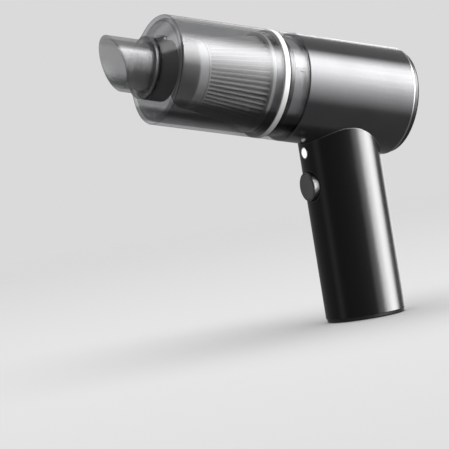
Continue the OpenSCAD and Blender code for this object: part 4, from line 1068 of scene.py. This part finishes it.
innerFinishes = [
    (ductPlastic, "intake_duct", "impeller"),
    (innerPlastic, "intake_guard", "fan_shroud", "motor_plate", "motor_end_bell", "motor_cradle",
     "battery_frame"),
    (zincSteel, "motor_can", "motor_shaft", "motor_screws", "frame_screws", "board_screws"),
    (softBlack, "duct_gasket", "cradle_damper"),
    (brassMetal, "motor_bushes", "motor_terminals"),
    (ferrite, "motor_magnets"),
    (windings, "motor_armature"),
    (openFoam, "exhaust_foam"),
    (filterPlastic, "filter_cage"),
    (cellWrap, "battery_cell_1", "battery_cell_2", "battery_cell_3"),
    (nickelStrip, "cell_strips"),
    (circuitBoard, "control_board", "led_board"),
    (blackMoulded, "switch_body", "switch_plunger"),
    (wireSleeve, "battery_leads", "led_wires", "motor_wires"),
]
for material, *nodes in innerFinishes:
    for node in nodes:
        frame["nodes"][node].data.materials.clear()
        frame["nodes"][node].data.materials.append(material)

print("Setting up the camera, floor and lights")

# The camera stands where the photograph's did: its turn about the object, its height and its roll
shot = {"azimuth": -27.8786, "elevation": 2.4771, "roll": -9.2785, "across": -70.6438 * mm,
        "up": -42.2953 * mm, "distance": 1866.706 * mm, "aim": Vector((0, 0, 100 * mm)),
        "focalPixels": 3056.47, "frameWidth": 449, "sensor": 36, "farthest": 50}


def addCamera():
    azimuth, elevation, roll = (math.radians(shot[key]) for key in ("azimuth", "elevation", "roll"))
    back = Vector((math.sin(azimuth) * math.cos(elevation), -math.cos(azimuth) * math.cos(elevation),
                   math.sin(elevation)))
    level = Vector((math.cos(azimuth), math.sin(azimuth), 0))
    upright = back.cross(level)
    right = math.cos(roll) * level + math.sin(roll) * upright
    above = math.cos(roll) * upright - math.sin(roll) * level
    camera = bpy.data.objects.new("camera", bpy.data.cameras.new("camera"))
    bpy.context.collection.objects.link(camera)
    spot = shot["aim"] + shot["across"] * right + shot["up"] * above + shot["distance"] * back
    camera.matrix_world = Matrix.Translation(spot) @ Matrix((right, above, back)).transposed().to_4x4()
    camera.data.sensor_width = shot["sensor"]
    camera.data.lens = shot["sensor"] * shot["focalPixels"] / shot["frameWidth"]
    camera.data.clip_end = shot["farthest"]
    bpy.context.scene.camera = camera
    return back, level


towardsCamera, acrossView = addCamera()
studio = {"floor": 0.8, "fadeStart": 0.25, "fadeEnd": 1.6, "shownWorld": 0.7, "world": 0.22,
          "clearLayers": 40}

# Groups that say which light reaches what
floorOnly = bpy.data.collections.new("floor only")
allButFloor = bpy.data.collections.new("all but the floor")
handleOnly = bpy.data.collections.new("handle only")
for name in ("handleTube", "powerButton", "buttonRing", "buttonBezel", "lampBezel"):
    handleOnly.objects.link(bpy.data.objects[name])


def addFloor():  # pale paper that fades out far from the object, so that no horizon shows
    clearSelection()
    bpy.ops.mesh.primitive_plane_add(size=2 * studio["fadeEnd"], location=(0, 0, 0))
    floor = bpy.context.object
    floor.name = "floor"
    paper = Finish("pale studio floor")
    speckle = paper.noise(900, 3)
    tint = paper.blendColours(speckle, grey(studio["floor"] * 0.97), grey(studio["floor"]))
    matte = paper.plastic(Base_Color=tint, Roughness=0.9, Specular_IOR_Level=0.0)
    away = paper.vector("LENGTH", paper.coords, (0, 0, 0), "Value")
    fade = paper.ramp(away * (1 / studio["fadeEnd"]), studio["fadeStart"] / studio["fadeEnd"], 1.0)
    clear = paper.node("ShaderNodeBsdfTransparent")
    floor.data.materials.append(paper.show(paper.mix(fade, matte, clear)))
    for group, state in ((floorOnly, "INCLUDE"), (allButFloor, "EXCLUDE")):
        group.objects.link(floor)
        group.collection_objects[0].light_linking.link_state = state
    floor.visible_glossy = False


def addWorld():  # pale behind the object, and darker in its reflections, as in a large dim studio
    world = bpy.data.worlds.new("studio")
    air = Finish("studio air", world)
    direct = air.node("ShaderNodeLightPath", out="Is Camera Ray")
    strength = studio["world"] + direct * (studio["shownWorld"] - studio["world"])
    background = air.node("ShaderNodeBackground", {}, {"Color": grey(1.0), "Strength": strength})
    air.node("ShaderNodeOutputWorld", {}, {"Surface": background})
    bpy.context.scene.world = world


# A soft box facing the aim. By default it lights the object and not the floor, which has its own.
def addLight(name, spot, aim, upright, width, height, radiance, stops=None, way="Y", reach=allButFloor):
    back = (spot - aim).normalized()
    side = upright.cross(back).normalized()
    light = bpy.data.lights.new(name, "AREA")
    light.shape = "RECTANGLE"
    light.size, light.size_y = width, height
    light.energy = radiance * math.pi * width * height
    if stops:  # brightness along the box's height, or its width
        glow = Finish(name, light)
        place = glow.node("ShaderNodeNewGeometry", out="Parametric")
        along = glow.node("ShaderNodeSeparateXYZ", {}, {"Vector": place}, out=way)
        emission = glow.node("ShaderNodeEmission", {}, {"Strength": glow.profile(along, stops)})
        glow.node("ShaderNodeOutputLight", {}, {"Surface": emission})
    turn = Matrix((side, back.cross(side), back)).transposed().to_4x4()
    holder = bpy.data.objects.new(name, light)
    holder.visible_camera = False
    holder.light_linking.receiver_collection = reach
    holder.light_linking.blocker_collection = allButFloor
    holder.matrix_world = Matrix.Translation(spot) @ turn
    bpy.context.collection.objects.link(holder)


def bearing(right, up):  # a direction by degrees to the camera's right and degrees up
    turn, lift = math.radians(right), math.radians(up)
    level = (towardsCamera * Vector((1, 1, 0))).normalized() * math.cos(turn) + acrossView * math.sin(turn)
    return level * math.cos(lift) + Vector((0, 0, 1)) * math.sin(lift)


# A curved soft box: flat panels along the arc that the body tube mirrors towards the camera.
# Each stop is degrees along the arc from the level, and the brightness there.
arcBox = {"distance": 1.6, "width": 0.85, "station": 45 * mm,
          "stops": [(-28, 0.0), (-16, 0.8), (-6, 1.6), (4, 2.5), (16, 3.9), (28, 5.9), (42, 8.4), (56, 9.7),
                    (68, 9.0), (79, 4.6), (90, 0.6)]}

# The other boxes face the body tube, or the middle of the handle, or the floor under it
middleOfHandle = Vector((0, 0, 50 * mm))
boxes = {
    "strip box": {"right": 84, "up": 0, "distance": 0.6, "width": 0.66, "height": 0.46, "radiance": 1.6,
                  "aim": middleOfHandle, "reach": handleOnly,
                  "fade": [(0, 1), (0.25, 12), (0.5, 18), (0.75, 12), (1, 1)]},
    "side box": {"right": -70, "up": 0, "distance": 0.8, "width": 0.4, "height": 1.0, "radiance": 0.45,
                 "aim": middleOfHandle, "reach": handleOnly, "fade": [(0, 0), (0.5, 1), (1, 0)]},
    "nose box": {"right": -70, "up": 50, "distance": 1.8, "width": 0.7, "height": 0.7, "radiance": 2.0},
    "back box": {"right": 155, "up": 40, "distance": 1.8, "width": 1.6, "height": 1.6, "radiance": 0.25},
    "rear box": {"right": 160, "up": 7, "distance": 1.8, "width": 1.0, "height": 1.1, "radiance": 1.6},
    "far box": {"right": -110, "up": 36, "distance": 1.8, "width": 1.0, "height": 1.0, "radiance": 1.6},
    "top box": {"right": 0, "up": 88, "distance": 2.0, "width": 1.0, "height": 1.0, "radiance": 1.0},
    "floor box": {"right": 0, "up": 88, "distance": 2.4, "width": 4.0, "height": 4.0, "radiance": 1.7,
                  "aim": Vector((0, 0, 0)), "reach": floorOnly},
}


def addArcBox():
    aim = axisPoint + arcBox["station"] * noseAxis
    along = towardsCamera.dot(noseAxis)
    across = (towardsCamera - along * noseAxis).normalized()
    over = noseAxis.cross(across) * (1 if noseAxis.cross(across).z > 0 else -1)
    share = math.sqrt(1 - along ** 2)
    stops = arcBox["stops"]
    for (low, dim), (high, bright) in zip(stops, stops[1:]):
        middle, half = math.radians(low + high) / 2, math.radians(high - low) / 2
        out = share * (math.cos(middle) * across + math.sin(middle) * over) - along * noseAxis
        upright = math.cos(middle) * over - math.sin(middle) * across
        height = 2 * arcBox["distance"] * share * math.tan(half)
        peak = max(dim, bright)
        addLight("arc box", aim + arcBox["distance"] * out, aim, upright, arcBox["width"], height, peak,
                 [(0, dim / peak), (1, bright / peak)])


def addBox(name, values):
    aim = values.get("aim", axisPoint)
    spot = aim + values["distance"] * bearing(values["right"], values["up"])
    addLight(name, spot, aim, Vector((0, 0, 1)), values["width"], values["height"], values["radiance"],
             values.get("fade"), "X", values.get("reach", allButFloor))


addFloor()
addWorld()
addArcBox()
for name, values in boxes.items():
    addBox(name, values)
bpy.context.scene.view_settings.view_transform = "Standard"
bpy.context.scene.cycles.transparent_max_bounces = studio["clearLayers"]  # the clear walls lie many deep

print("Done")
